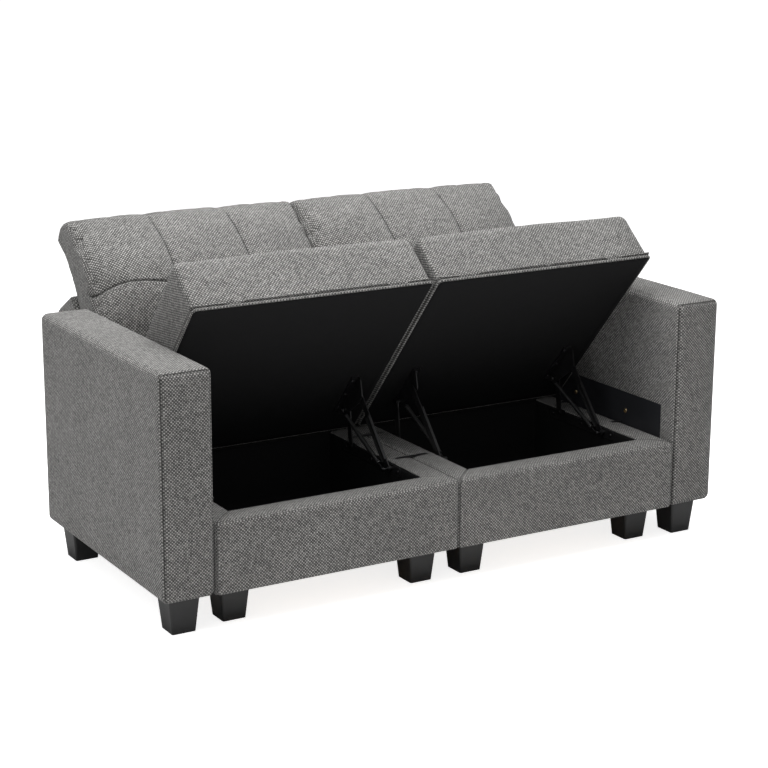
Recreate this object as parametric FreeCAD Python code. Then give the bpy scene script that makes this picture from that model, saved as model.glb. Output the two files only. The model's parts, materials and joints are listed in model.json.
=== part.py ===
# Two-seat storage sofa with lift-up seats.
#
# Two seat modules stand side by side between two arms. Each module is an open storage box with a
# padded rim, a leaning back frame and a tufted back cushion. The seat is a padded lid on a pair of
# four-bar lifts with tension springs. It is modelled open, as it rests in use when something is
# put in the box.
#
# X runs along the sofa, Y from the front to the back and Z up. Sizes are in millimetres. While the
# pieces are made, Y = 0 is the front of the arms. At the end everything is moved so that the
# origin lies on the floor under the middle of the sofa.
import FreeCAD, Part
import math
import os

vec = FreeCAD.Vector
os.makedirs("parts", exist_ok=True)

# Overall sizes
module_width = 700.0
arm_width = 140.0
arm_height = 673.0
arm_depth = 758.0
leg_height = 95.5
rim_height = 285.4
box_depth = 697.0

# Storage box
side_wall = 69.6
front_wall = 69.8
rear_wall = 135.0
cover_side = 22.0
cover_top = 6.0
lining_thickness = 1.5
bottom_board_thickness = 9.0
rim_edge_radius = 14.0
rim_inner_radius = 2.0
module_gap = 1.0

# Arm
arm_padding = 12.0
arm_edge_radius = 18.0
arm_corner_radius = 9.0
arm_crown = 5.0
arm_board = 18.0
arm_foot_board = 30.0
arm_foot_lip = 2.0
arm_bottom_radius = 3.0
arm_bearer_height = 42.0
arm_panel_thickness = 3.0
arm_panel_front = 62.0
arm_panel_rear_margin = 6.0
arm_panel_top = 374.0
arm_bolt_height = 320.0
arm_bolt_places = (219.0, 455.0)
arm_bolt_radius = 7.0
arm_bolt_head = 2.5
arm_bolt_edge_radius = 1.2

# Legs
leg_foot = 64.0
leg_top = 83.0
leg_foot_radius = 5.0
leg_top_radius = 8.0
module_leg_inset_x = 35.5
module_leg_inset_y = 50.5
arm_leg_inset_y = 31.0

# Back frame, as a side profile that leans away from the seat
back_foot_depth = 162.0
back_foot_front_radius = 4.0
back_foot_rear_radius = 6.0
back_ledge_height = 452.0
back_ledge_depth = 50.0
back_ledge_radius = 16.0
back_ledge_inner_radius = 6.0
back_lean = 29.5
back_top_width = 140.0
back_side_radius = 22.0
back_padding = 12.0
back_board = 18.0
back_rail = 40.0
back_foot_rail_length = 120.0
back_belt_height = 74.0
back_belt_drop = 16.0
back_edge_radius = 30.0

# Back cushion. Two side profiles, one through its crown and one along its side seam. Each low
# corner is a (y, z) step from the front corner of the ledge, the others from the top of the back.
cushion_side_gap = 3.0
crown_low = (13.0, 14.0)
crown_seam = (-181.0, 51.0)
crown_crest = (29.0, 200.0)
crown_rear = (123.0, 134.0)
edge_low = (41.0, 22.0)
edge_seam = (-113.0, 44.0)
edge_crest = (38.0, 190.0)
edge_rear = (117.0, 126.0)
cushion_end_inset = 17.0
low_row_bow = 6.0
high_row_bow = 24.0
crest_bow = 12.0
rear_bow = -12.0
underside_bow = 5.0
pillow_crown = 15.0
pillow_columns = 3
steps_in_pillow = 6
cushion_strap = 22.0
cushion_top_margin = 2.0

# Lid
lid_side_gap = 5.0
lid_length = 644.0
lid_height = 140.0
lid_crown = 12.0
lid_corner_radius = 17.0
lid_rear_radius = 30.0
lid_plan_radius = 12.0
lid_front_bulge = 6.0
lid_side_bulge = 3.0
lid_base_tuck = 1.0
lid_board_thickness = 12.0
lid_board_margin = 8.5
lid_board_radius = 10.0
undercloth_thickness = 1.0
welt_width = 8.0
welt_height = 7.0
welt_plan_radius = 9.0
welt_edge_radius = 2.6
lid_rest_gap = 1.5
lid_closed_front = 14.0
lid_open_angle = 49.6
lid_open_front = 119.0
lid_open_height = 783.0

# Four-bar lift. The lid pivots are given along the lid from its front edge and below its underside.
rear_pivot_along = 520.0
rear_pivot_drop = 16.0
front_pivot_along = 429.0
front_pivot_drop = 38.0
rear_base_height = 274.5
front_base_height = 266.0
link_thickness = 3.0
rear_link_width = 20.0
front_link_width = 20.0
link_pin_radius = 4.0
pin_clearance = 0.08
pin_collar_radius = 7.0
head_thickness = 2.0
bracket_thickness = 3.0
bracket_flange = 23.0
bracket_front = 387.0
bracket_rear = 540.0
bracket_front_depth = 14.0
bracket_front_radius = 8.0
bracket_pivot_width = 29.0
bracket_pivot_edge = 12.0
bracket_rear_edge = 11.0
bracket_rear_radius = 10.0
bracket_rear_slope = 6.0
bracket_seat_gap = 0.01
rail_thickness = 2.5
rail_front = 178.0
rail_rear = 480.0
rail_bottom = 251.0
rail_top = 277.0
rail_end_radius = 9.0
rail_ear_margin = 9.5
rail_ear_front = 16.0
rail_ear_rear = 14.0
rail_ear_slope = 8.0
rail_ear_radius = 5.0
rail_screw_places = (191.0, 327.0, 466.0)
rail_screw_radius = 4.6
rail_screw_head = 2.2
bracket_screw_places = (405.0, 465.0, 525.0)
channel_lip = 4.5
channel_lip_thickness = 2.0
channel_start = 24.0
channel_end = 62.0
plane_gap = 0.3

# Tension springs of the lift
spring_pin_radius = 3.4
spring_wire_radius = 1.5
spring_coil_radius = 5.0
spring_pitch = 16.0
spring_turns = 12
wire_sides = 6
spring_eye_radius = 5.2
spring_neck = 5.5
spring_shank = 16.0
spring_blend = 8.0
spring_offset = 27.0
spring_pin_reach = 3.2
spring_cap_thickness = 2.0
spring_cap_overlap = 1.6
hook_rod_radius = 1.6
hook_rod_inset = 7.0
collar_radius = 6.0
collar_length = 5.0
collar_bite = 0.5
collar_bore_gap = 0.3

# Flat hooks that join the modules and arms across the rims
hook_length = 100.0
hook_width = 12.0
hook_thickness = 3.0
hook_sink = 2.5
hook_places = (238.0, 473.0)
arm_hook_places = (240.0, 488.0)
arm_hook_reach = 34.0

# Steel brackets that hold the back frame on the seat box
back_bracket_thickness = 3.0
back_bracket_width = 70.0
back_bracket_places = (130.0, 570.0)
back_bracket_low = 140.0
back_bracket_high = 262.0

seat_gap = 0.3
overcut = 1.0
eps = 0.001


def made(shape, name):
    """Write one node's solids and remember them for the final move."""
    nodes[name] = shape


nodes = {}
gaps = []


def block(x0, x1, y0, y1, z0, z1):
    return Part.makeBox(x1 - x0, y1 - y0, z1 - z0, vec(x0, y0, z0))


def on_x(x):
    return lambda a, b: vec(x, a, b)


def on_y(y):
    return lambda a, b: vec(a, y, b)


def on_z(z):
    return lambda a, b: vec(a, b, z)


def rounded_loop(points, place):
    """Closed wire through (a, b, radius) corners, each corner an arc of its radius."""
    count = len(points)
    starts = []
    for i in range(count):
        before = points[i - 1]
        here = points[i]
        after = points[(i + 1) % count]
        ua = (before[0] - here[0], before[1] - here[1])
        ub = (after[0] - here[0], after[1] - here[1])
        la = math.hypot(*ua)
        lb = math.hypot(*ub)
        ua = (ua[0] / la, ua[1] / la)
        ub = (ub[0] / lb, ub[1] / lb)
        half = 0.5 * math.acos(max(-1.0, min(1.0, ua[0] * ub[0] + ua[1] * ub[1])))
        radius = here[2]
        if radius <= 0:
            starts.append((here[:2], None, here[:2]))
            continue
        run = radius / math.tan(half)
        bis = (ua[0] + ub[0], ua[1] + ub[1])
        lbis = math.hypot(*bis)
        reach = radius / math.sin(half) - radius
        first = (here[0] + ua[0] * run, here[1] + ua[1] * run)
        middle = (here[0] + bis[0] / lbis * reach, here[1] + bis[1] / lbis * reach)
        last = (here[0] + ub[0] * run, here[1] + ub[1] * run)
        starts.append((first, middle, last))
    edges = []
    for i in range(count):
        first, middle, last = starts[i]
        previous = starts[i - 1][2]
        if math.dist(previous, first) > eps:
            edges.append(Part.makeLine(place(*previous), place(*first)))
        if middle is not None:
            edges.append(Part.Arc(place(*first), place(*middle), place(*last)).toShape())
    return Part.Wire(Part.__sortEdges__(edges))


def plate(points, place, along):
    """Solid of a rounded profile, extruded by the vector along."""
    return Part.Face(rounded_loop(points, place)).extrude(along)


def bar_between(pa, pb, width, place, along):
    """Straight flat link with round ends about two centres."""
    dx = pb[0] - pa[0]
    dy = pb[1] - pa[1]
    length = math.hypot(dx, dy)
    ux, uy = dx / length, dy / length
    nx, ny = -uy, ux
    r = 0.5 * width
    a1 = (pa[0] + nx * r, pa[1] + ny * r)
    a2 = (pa[0] - ux * r, pa[1] - uy * r)
    a3 = (pa[0] - nx * r, pa[1] - ny * r)
    b1 = (pb[0] - nx * r, pb[1] - ny * r)
    b2 = (pb[0] + ux * r, pb[1] + uy * r)
    b3 = (pb[0] + nx * r, pb[1] + ny * r)
    edges = [
        Part.Arc(place(*a1), place(*a2), place(*a3)).toShape(),
        Part.makeLine(place(*a3), place(*b1)),
        Part.Arc(place(*b1), place(*b2), place(*b3)).toShape(),
        Part.makeLine(place(*b3), place(*a1)),
    ]
    return Part.Face(Part.Wire(edges)).extrude(along)


def stud(x0, x1, centre, radius):
    """Round pin along X from x0 to x1 about a (y, z) centre."""
    low = min(x0, x1)
    return Part.makeCylinder(radius, abs(x1 - x0), vec(low, centre[0], centre[1]), vec(1, 0, 0))


def turn(point, degrees):
    c = math.cos(math.radians(degrees))
    s = math.sin(math.radians(degrees))
    return (point[0] * c - point[1] * s, point[0] * s + point[1] * c)


def group(solids):
    return Part.makeCompound(solids)


def joined(solids):
    return solids[0].fuse(solids[1:]).removeSplitter()


# Sizes that follow from the ones above
half_width = module_width + arm_width
opening_rear = box_depth - rear_wall
back_foot_front = box_depth + back_bracket_thickness
back_foot_rear = back_foot_front + back_foot_depth
module_inner = 0.5 * module_gap
module_outer = module_width - 0.5 * module_gap
box_bottom = leg_height
lid_closed_height = rim_height + lid_rest_gap
lid_half = 0.5 * module_width - lid_side_gap
sides = {"left": -1.0, "right": 1.0}
middle_x = 0.5 * module_width

# Lift geometry by two-position synthesis: each base pivot is on the bisector of the two places
# that its lid pivot takes, at its own height.
lid_rear_pivot = (rear_pivot_along, -rear_pivot_drop)
lid_front_pivot = (front_pivot_along, -front_pivot_drop)
closed_edge = (lid_closed_front, lid_closed_height)
open_edge = (lid_open_front, lid_open_height)


def lid_point(local, edge, degrees):
    a, b = turn(local, -degrees)
    return (edge[0] + a, edge[1] + b)


def base_pivot(first, second, height):
    my = 0.5 * (first[0] + second[0])
    mz = 0.5 * (first[1] + second[1])
    dy = second[0] - first[0]
    dz = second[1] - first[1]
    return (my - (height - mz) * dz / dy, height)


def heading(start, end):
    return math.degrees(math.atan2(end[1] - start[1], end[0] - start[0]))


rear_shut = lid_point(lid_rear_pivot, closed_edge, 0.0)
rear_open = lid_point(lid_rear_pivot, open_edge, lid_open_angle)
front_shut = lid_point(lid_front_pivot, closed_edge, 0.0)
front_open = lid_point(lid_front_pivot, open_edge, lid_open_angle)
rear_base = base_pivot(rear_shut, rear_open, rear_base_height)
front_base = base_pivot(front_shut, front_open, front_base_height)
lift_travel = heading(rear_base, rear_shut) - heading(rear_base, rear_open)
front_travel = heading(front_base, front_shut) - heading(front_base, front_open)
swing_travel = heading(front_base, rear_shut) - heading(front_base, rear_open)
spring_open = math.dist(front_base, rear_open)
spring_shut = math.dist(front_base, rear_shut)

# Planes of the lift, counted from the inner face of the box wall
link_plane = rail_thickness + rail_screw_head + plane_gap
link_face = link_plane + link_thickness
head_plane = link_face + plane_gap
front_plane = head_plane + head_thickness + plane_gap
front_face = front_plane + link_thickness
bracket_plane = front_face + head_thickness + 2 * plane_gap
bracket_face = bracket_plane + bracket_thickness
stub_start = bracket_face + head_thickness + plane_gap


def seat_box(side, name):
    """Timber walls, padded cover with mitred corners, bottom board and lining of one box."""
    outer = [module_inner, module_outer]
    inner = [side_wall, module_width - side_wall]
    # Plan corners of the outer face, of the skin behind it and of the opening, front left first
    out = ((outer[0], 0), (outer[1], 0), (outer[1], box_depth), (outer[0], box_depth))
    skin = ((outer[0] + cover_side, cover_side), (outer[1] - cover_side, cover_side),
            (outer[1] - cover_side, box_depth - cover_side),
            (outer[0] + cover_side, box_depth - cover_side))
    rim = ((inner[0], front_wall), (inner[1], front_wall), (inner[1], opening_rear),
           (inner[0], opening_rear))
    corners = {
        "front": (out[0], out[1], skin[1], rim[1], rim[0], skin[0]),
        "rear": (out[3], out[2], skin[2], rim[2], rim[3], skin[3]),
        "near": (out[0], out[3], skin[3], rim[3], rim[0], skin[0]),
        "far": (out[1], out[2], skin[2], rim[2], rim[1], skin[1]),
    }
    # Each wall: the outer face's place, the direction inwards and the wall's whole thickness
    walls = {
        "front": ("y", 0.0, 1.0, front_wall),
        "rear": ("y", box_depth, -1.0, box_depth - opening_rear),
        "near": ("x", outer[0], 1.0, inner[0] - outer[0]),
        "far": ("x", outer[1], -1.0, outer[1] - inner[1]),
    }
    under_top = rim_height - cover_top
    panels = []
    for key, (axis, face, inward, thick) in walls.items():
        profile = [
            (face, box_bottom, 0.0),
            (face, rim_height, rim_edge_radius),
            (face + inward * thick, rim_height, rim_inner_radius),
            (face + inward * thick, under_top, 0.0),
            (face + inward * cover_side, under_top, 0.0),
            (face + inward * cover_side, box_bottom, 0.0),
        ]
        if axis == "y":
            strip = plate(profile, on_x(outer[0]), vec(outer[1] - outer[0], 0, 0))
        else:
            strip = plate(profile, on_y(0.0), vec(0, box_depth, 0))
        plan = [(x, y, 0.0) for x, y in corners[key]]
        cutter = plate(plan, on_z(box_bottom), vec(0, 0, rim_height - box_bottom))
        panels.append(strip.common(cutter))
    made(handed(group(panels), side).cut(group(hook_slots(name))), name + "_box_cover")

    timber_out = cover_side
    lining_x0 = inner[0] - lining_thickness
    lining_x1 = inner[1] + lining_thickness
    lining_y0 = front_wall - lining_thickness
    lining_y1 = opening_rear + lining_thickness
    timber = [
        block(outer[0] + timber_out, outer[1] - timber_out, timber_out, lining_y0, box_bottom, under_top),
        block(outer[0] + timber_out, outer[1] - timber_out, lining_y1, box_depth - timber_out,
              box_bottom, under_top),
        block(outer[0] + timber_out, lining_x0, lining_y0, lining_y1, box_bottom, under_top),
        block(lining_x1, outer[1] - timber_out, lining_y0, lining_y1, box_bottom, under_top),
    ]
    made(handed(group(timber), side), name + "_box_timber")
    board_top = box_bottom + bottom_board_thickness
    board = block(lining_x0, lining_x1, lining_y0, lining_y1, box_bottom, board_top)
    made(handed(board, side), name + "_bottom_board")
    bag = block(lining_x0, lining_x1, lining_y0, lining_y1, board_top, under_top)
    room = block(inner[0], inner[1], front_wall, opening_rear, board_top + lining_thickness,
                 under_top + overcut)
    made(handed(bag.cut(room), side), name + "_box_lining")


def mirror_x(shape):
    return shape.mirror(vec(0, 0, 0), vec(1, 0, 0))


def handed(shape, side):
    """The right-hand piece as it is, or its mirror image for the left."""
    return shape if side > 0 else mirror_x(shape)


def hook_bars():
    """Flat bars at their real places: across the middle seam, and from each outer rim to its arm."""
    top = rim_height + hook_thickness - hook_sink
    low = top - hook_thickness
    bars = {"seam": [], "left": [], "right": []}
    for y in hook_places:
        bars["seam"].append(block(-0.5 * hook_length, 0.5 * hook_length, y - 0.5 * hook_width,
                                  y + 0.5 * hook_width, low, top))
    for name, side in sides.items():
        for y in arm_hook_places:
            bar = block(module_width - arm_hook_reach, module_width, y - 0.5 * hook_width,
                        y + 0.5 * hook_width, low, top)
            bars[name].append(handed(bar, side))
    return bars


def hook_slots(name):
    """Pockets in the rim of one module that take the flat hooks."""
    slots = []
    for key in ("seam", name):
        for bar in hook_bars()[key]:
            b = bar.BoundBox
            slots.append(block(b.XMin, b.XMax, b.YMin, b.YMax, b.ZMin, b.ZMax + overcut))
    return slots


def leg(x, y):
    """Tapered square leg under a foot centre, with round edges."""
    half_foot = 0.5 * leg_foot
    half_top = 0.5 * leg_top

    def square(half, radius, z):
        corners = [(x - half, y - half, radius), (x + half, y - half, radius),
                   (x + half, y + half, radius), (x - half, y + half, radius)]
        return rounded_loop(corners, on_z(z))

    return Part.makeLoft([square(half_foot, leg_foot_radius, 0.0),
                          square(half_top, leg_top_radius, leg_height)], True, True)


def legs(side, name):
    reach = 0.5 * leg_top
    xs = (module_leg_inset_x + reach, module_width - module_leg_inset_x - reach)
    ys = (module_leg_inset_y + reach, box_depth - module_leg_inset_y - reach)
    made(group([leg(side * x, y) for x in xs for y in ys]), name + "_seat_legs")
    x = module_width + 0.5 * arm_width
    ys = (arm_leg_inset_y + reach, arm_depth - arm_leg_inset_y - reach)
    made(group([leg(side * x, y) for y in ys]), name + "_arm_legs")


def arm(side, name):
    """Padded arm over a board frame, with its inner board panel and the bolts in it."""
    x0 = module_width
    x1 = half_width
    xm = 0.5 * (x0 + x1)
    z0 = leg_height
    shoulder = arm_height - arm_crown
    top = Part.Arc(vec(x0 + arm_edge_radius, 0, shoulder), vec(xm, 0, arm_height),
                   vec(x1 - arm_edge_radius, 0, shoulder)).toShape()
    drop = arm_edge_radius * (1 - math.sqrt(0.5))
    left_round = Part.Arc(vec(x0, 0, shoulder - arm_edge_radius), vec(x0 + drop, 0, shoulder - drop),
                          vec(x0 + arm_edge_radius, 0, shoulder)).toShape()
    right_round = Part.Arc(vec(x1 - arm_edge_radius, 0, shoulder), vec(x1 - drop, 0, shoulder - drop),
                           vec(x1, 0, shoulder - arm_edge_radius)).toShape()
    outline = Part.Wire([
        Part.makeLine(vec(x0, 0, z0), vec(x0, 0, shoulder - arm_edge_radius)), left_round, top,
        right_round, Part.makeLine(vec(x1, 0, shoulder - arm_edge_radius), vec(x1, 0, z0)),
        Part.makeLine(vec(x1, 0, z0), vec(x0, 0, z0))])
    form = Part.Face(outline).extrude(vec(0, arm_depth, 0))
    high = arm_height + overcut
    side_view = plate([(0, z0, arm_bottom_radius), (arm_depth, z0, arm_bottom_radius),
                       (arm_depth, high, arm_edge_radius), (0, high, arm_edge_radius)],
                      on_x(x0 - overcut), vec(arm_width + 2 * overcut, 0, 0))
    plan_view = plate([(x0, 0, arm_corner_radius), (x1, 0, arm_corner_radius),
                       (x1, arm_depth, arm_corner_radius), (x0, arm_depth, arm_corner_radius)],
                      on_z(z0 - overcut), vec(0, 0, arm_height))
    form = form.common(side_view).common(plan_view)
    p = arm_padding
    floor = z0 + arm_foot_lip
    ceiling = shoulder - p
    hollow = block(x0 + p, x1 - p, p, arm_depth - p, floor, ceiling)
    recess = block(x0 - overcut, x0 + arm_panel_thickness, arm_panel_front,
                   arm_depth - arm_panel_rear_margin, z0 - overcut, arm_panel_top)
    made(handed(form.cut(hollow).cut(recess), side), name + "_arm_cover")

    xa, xb = x0 + p, x1 - p
    ya, yb = p, arm_depth - p
    foot_top = floor + arm_foot_board
    frame = [
        block(xa, xb, ya, ya + arm_board, floor, ceiling),
        block(xa, xb, yb - arm_board, yb, floor, ceiling),
        block(xa, xb, ya + arm_board, yb - arm_board, floor, foot_top),
        block(xa, xb, ya + arm_board, yb - arm_board, ceiling - arm_board, ceiling),
        block(xa, xa + arm_board, ya + arm_board, yb - arm_board,
              arm_bolt_height - 0.5 * arm_bearer_height, arm_bolt_height + 0.5 * arm_bearer_height),
    ]
    made(handed(group(frame), side), name + "_arm_timber")

    panel = block(x0, x0 + arm_panel_thickness, arm_panel_front, arm_depth - arm_panel_rear_margin,
                  z0, arm_panel_top)
    made(handed(panel, side), name + "_arm_panel")
    bolts = []
    for y in arm_bolt_places:
        head = stud(x0 - arm_bolt_head, x0, (y, arm_bolt_height), arm_bolt_radius)
        rim = [head.Edges[i] for i in rim_edges(head, x0 - arm_bolt_head)]
        bolts.append(head.makeFillet(arm_bolt_edge_radius, rim))
    made(handed(group(bolts), side), name + "_arm_bolts")


def rim_edges(solid, x):
    """Numbers of the round edges of a stud that lie at one X."""
    found = []
    for i, edge in enumerate(solid.Edges):
        b = edge.BoundBox
        if abs(b.XMin - x) < 0.01 and abs(b.XMax - x) < 0.01:
            found.append(i)
    return found


def back_profile():
    """Corners of the back frame's side profile, front foot first. Its rounded top is level with the arms."""
    lean = math.radians(back_lean)
    ledge_rear = back_foot_front + back_ledge_depth
    rounded_off = back_edge_radius * (math.sin(lean) + math.cos(lean) - 1)
    rise = arm_height + rounded_off - back_ledge_height
    top_front = (ledge_rear + rise * math.tan(lean), back_ledge_height + rise)
    top_rear = (top_front[0] + back_top_width * math.cos(lean),
                top_front[1] - back_top_width * math.sin(lean))
    return [
        (back_foot_front, leg_height, back_foot_front_radius),
        (back_foot_front, back_ledge_height, back_ledge_radius),
        (ledge_rear, back_ledge_height, back_ledge_inner_radius),
        (top_front[0], top_front[1], back_edge_radius),
        (top_rear[0], top_rear[1], back_edge_radius),
        (back_foot_rear, leg_height, back_foot_rear_radius),
    ]


def back_frame(side, name):
    """Padded back over two side boards and three rails."""
    x0 = module_inner
    x1 = module_outer
    profile = back_profile()
    form = plate(profile, on_x(x0), vec(x1 - x0, 0, 0))
    high = profile[3][1]
    deepest = profile[4][0] - back_foot_front
    front_view = plate([(x0, leg_height, 0.0), (x1, leg_height, 0.0), (x1, high, back_side_radius),
                        (x0, high, back_side_radius)], on_y(back_foot_front - overcut),
                       vec(0, deepest + 2 * overcut, 0))
    form = form.common(front_view)
    outline = rounded_loop(profile, on_x(x0 + back_padding))
    inside = outline.makeOffset2D(-back_padding)
    hollow = Part.Face(inside).extrude(vec(x1 - x0 - 2 * back_padding, 0, 0))
    made(handed(form.cut(hollow), side), name + "_back_cover")

    board = Part.Face(inside).extrude(vec(back_board, 0, 0))
    far_board = board.translated(vec(x1 - x0 - 2 * back_padding - back_board, 0, 0))
    span0 = x0 + back_padding + back_board
    span = x1 - x0 - 2 * (back_padding + back_board)
    top_front, top_rear = profile[3], profile[4]
    lean = math.radians(back_lean)
    rail_front_face = back_foot_front + back_padding
    rail_low = leg_height + back_padding
    foot = block(span0, span0 + span, rail_front_face, rail_front_face + back_foot_rail_length,
                 rail_low, rail_low + back_rail)
    belt_high = back_ledge_height - back_padding - back_belt_drop
    belt = block(span0, span0 + span, rail_front_face, rail_front_face + back_rail,
                 belt_high - back_belt_height, belt_high)
    crest_mid = (0.5 * (top_front[0] + top_rear[0]), 0.5 * (top_front[1] + top_rear[1]))
    down = (-math.sin(lean), -math.cos(lean))
    across = (math.cos(lean), -math.sin(lean))
    deep = back_padding + back_rail
    half = 0.5 * back_top_width - back_edge_radius

    def crest(a, b):
        return (crest_mid[0] + across[0] * a + down[0] * b, crest_mid[1] + across[1] * a + down[1] * b, 0.0)

    head = plate([crest(-half, back_padding), crest(half, back_padding), crest(half, deep),
                  crest(-half, deep)], on_x(span0), vec(span, 0, 0))
    frame = [board, far_board, foot, belt, head]
    made(handed(group(frame), side), name + "_back_timber")


def back_brackets():
    """Flat plates between the rear of each seat box and its back frame."""
    plates = []
    for side in sides.values():
        for x in back_bracket_places:
            bracket = block(x - 0.5 * back_bracket_width, x + 0.5 * back_bracket_width, box_depth,
                            back_foot_front, back_bracket_low, back_bracket_high)
            plates.append(handed(bracket, side))
    made(group(plates), "back_brackets")


def back_cushion(side, name):
    """Tufted cushion: six pillows between two upright seams and one level seam."""
    half = 0.5 * (module_width - 2 * cushion_side_gap)
    steps = pillow_columns * steps_in_pillow
    lean = math.radians(back_lean)
    profile = back_profile()
    front_corner, ledge, top_front = profile[1], profile[2], profile[3]
    ny, nz = -math.cos(lean), math.sin(lean)
    reach = math.dist(ledge[:2], top_front[:2]) - back_edge_radius - cushion_top_margin

    def on_frame(along):
        """Point just in front of the leaning face, a distance up from the ledge."""
        return (ledge[0] + along * math.sin(lean) + ny * seat_gap,
                ledge[1] + along * math.cos(lean) + nz * seat_gap)

    def blend(start, edge, crown, share, inset):
        return (start[0] + edge[0] + (crown[0] - edge[0]) * share + inset[0],
                start[1] + edge[1] + (crown[1] - edge[1]) * share + inset[1])

    def bowed(a, b, bow):
        """Middle of the arc from a to b that stands out by bow on its left side."""
        dy, dz = b[0] - a[0], b[1] - a[1]
        length = math.hypot(dy, dz)
        return (0.5 * (a[0] + b[0]) - bow * dz / length, 0.5 * (a[1] + b[1]) + bow * dy / length)

    def section(step):
        x = -half + 2 * half * step / steps
        t = (step % steps_in_pillow) / steps_in_pillow
        puff = pillow_crown * math.sin(math.pi * t) ** 0.8
        share = 1.0 - abs(x / half) ** 2.5
        ends = min(step, steps - step)
        inset = {0: 1.0, 1: 0.15}.get(ends, 0.0) * cushion_end_inset
        low = blend(front_corner, edge_low, crown_low, share, (0.55 * inset, inset))
        seam = blend(top_front, edge_seam, crown_seam, share, (inset, 0.3 * inset))
        crest = blend(top_front, edge_crest, crown_crest, share, (0.2 * inset, 0.5 * puff - inset))
        rear = blend(top_front, edge_rear, crown_rear, share, (-inset, -0.3 * inset))
        high_back = on_frame(reach)
        low_back = on_frame(cushion_strap)
        arcs = []
        corners = [
            (low, seam, low_row_bow + puff),
            (seam, crest, high_row_bow + puff),
            (crest, rear, crest_bow),
            (rear, high_back, rear_bow),
            (high_back, low_back, 0.0),
            (low_back, low, underside_bow),
        ]
        for a, b, bow in corners:
            pa = vec(middle_x + x, a[0], a[1])
            pb = vec(middle_x + x, b[0], b[1])
            if bow:
                m = bowed(a, b, bow)
                arcs.append(Part.Arc(pa, vec(middle_x + x, m[0], m[1]), pb).toShape())
            else:
                arcs.append(Part.makeLine(pa, pb))
        return Part.Wire(arcs)

    body = Part.makeLoft([section(step) for step in range(steps + 1)], True, True)
    made(handed(body, side), name + "_back_cushion")


def lid_local():
    """Lid pieces in the lid's own frame: X from its middle, Y from its front edge, Z from its underside."""
    half = lid_half
    length = lid_length
    base = welt_height + seat_gap

    top = lid_height
    r = lid_corner_radius
    rr = lid_rear_radius
    cut = 1 - math.sqrt(0.5)

    tuck = lid_base_tuck

    def side_at(y, z):
        return vec(-half - tuck, y, z)

    mid = 0.5 * (base + top)
    side_view = Part.Wire([
        Part.Arc(side_at(tuck, base), side_at(-lid_front_bulge, mid), side_at(0, top - r)).toShape(),
        Part.Arc(side_at(0, top - r), side_at(r * cut, top - r * cut), side_at(r, top)).toShape(),
        Part.Arc(side_at(r, top), side_at(0.5 * length, top + lid_crown), side_at(length - rr, top)).toShape(),
        Part.Arc(side_at(length - rr, top), side_at(length - rr * cut, top - rr * cut),
                 side_at(length, top - rr)).toShape(),
        Part.Arc(side_at(length, top - rr), side_at(length + tuck, mid), side_at(length - tuck, base)).toShape(),
        Part.makeLine(side_at(length - tuck, base), side_at(tuck, base))])

    def front_at(x, z):
        return vec(x, -2 * lid_front_bulge, z)

    front_view = Part.Wire([
        Part.Arc(front_at(-half + tuck, base), front_at(-half - lid_side_bulge, mid),
                 front_at(-half, top - r)).toShape(),
        Part.Arc(front_at(-half, top - r), front_at(-half + r * cut, top - r * cut),
                 front_at(-half + r, top)).toShape(),
        Part.Arc(front_at(-half + r, top), front_at(0, top + lid_crown), front_at(half - r, top)).toShape(),
        Part.Arc(front_at(half - r, top), front_at(half - r * cut, top - r * cut),
                 front_at(half, top - r)).toShape(),
        Part.Arc(front_at(half, top - r), front_at(half + lid_side_bulge, mid),
                 front_at(half - tuck, base)).toShape(),
        Part.makeLine(front_at(half - tuck, base), front_at(-half + tuck, base))])
    wide = half + lid_side_bulge
    deep = lid_front_bulge
    far = length + 2 * tuck
    plan_view = plate([(-wide, -deep, lid_plan_radius), (wide, -deep, lid_plan_radius),
                       (wide, far, lid_plan_radius), (-wide, far, lid_plan_radius)],
                      on_z(0.0), vec(0, 0, top + 2 * lid_crown))
    form = Part.Face(side_view).extrude(vec(2 * half + 2 * tuck, 0, 0))
    form = form.common(Part.Face(front_view).extrude(vec(0, far + 4 * deep, 0))).common(plan_view)
    margin = lid_board_margin
    board_low = undercloth_thickness
    board_high = board_low + lid_board_thickness
    pocket = block(-half + margin - seat_gap, half - margin + seat_gap, margin - seat_gap,
                   length - margin + seat_gap, 0.0, board_high + seat_gap)
    cushion = form.cut(pocket)

    def lid_plate(inset, radius, z0, z1):
        """Flat plate of the lid's outline, moved in by an inset."""
        corners = [(-half + inset, inset, radius), (half - inset, inset, radius),
                   (half - inset, length - inset, radius), (-half + inset, length - inset, radius)]
        return plate(corners, on_z(z0), vec(0, 0, z1 - z0))

    board = lid_plate(margin, lid_board_radius, board_low, board_high)
    cloth = lid_plate(margin, lid_board_radius, 0.0, undercloth_thickness)
    hole_radius = welt_plan_radius - 0.5 * welt_width
    hole = lid_plate(welt_width, hole_radius, -overcut, welt_height + overcut)
    welt = lid_plate(0.0, welt_plan_radius, 0.0, welt_height).cut(hole)
    long_edges = []
    for edge in welt.Edges:
        b = edge.BoundBox
        flat = b.ZMax - b.ZMin < 0.01
        near = 0.4 * welt_width
        outside = b.XMin < -half + near or b.XMax > half - near or b.YMin < near or b.YMax > length - near
        if flat and outside:
            long_edges.append(edge)
    welt = welt.makeFillet(welt_edge_radius, long_edges)
    return {"seat_cushion": cushion, "lid_board": board, "lid_undercloth": cloth, "lid_welt": welt}


def opened(shape):
    """Move a piece from the lid's own frame to its open place, about its front edge."""
    moved = shape.copy()
    moved.rotate(vec(0, 0, 0), vec(1, 0, 0), -lid_open_angle)
    moved.translate(vec(0, open_edge[0], open_edge[1]))
    return moved


def lid(side, name, pieces):
    for key, shape in pieces.items():
        placed = opened(shape)
        placed.translate(vec(side * middle_x, 0, 0))
        made(placed, name + "_" + key)


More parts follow.
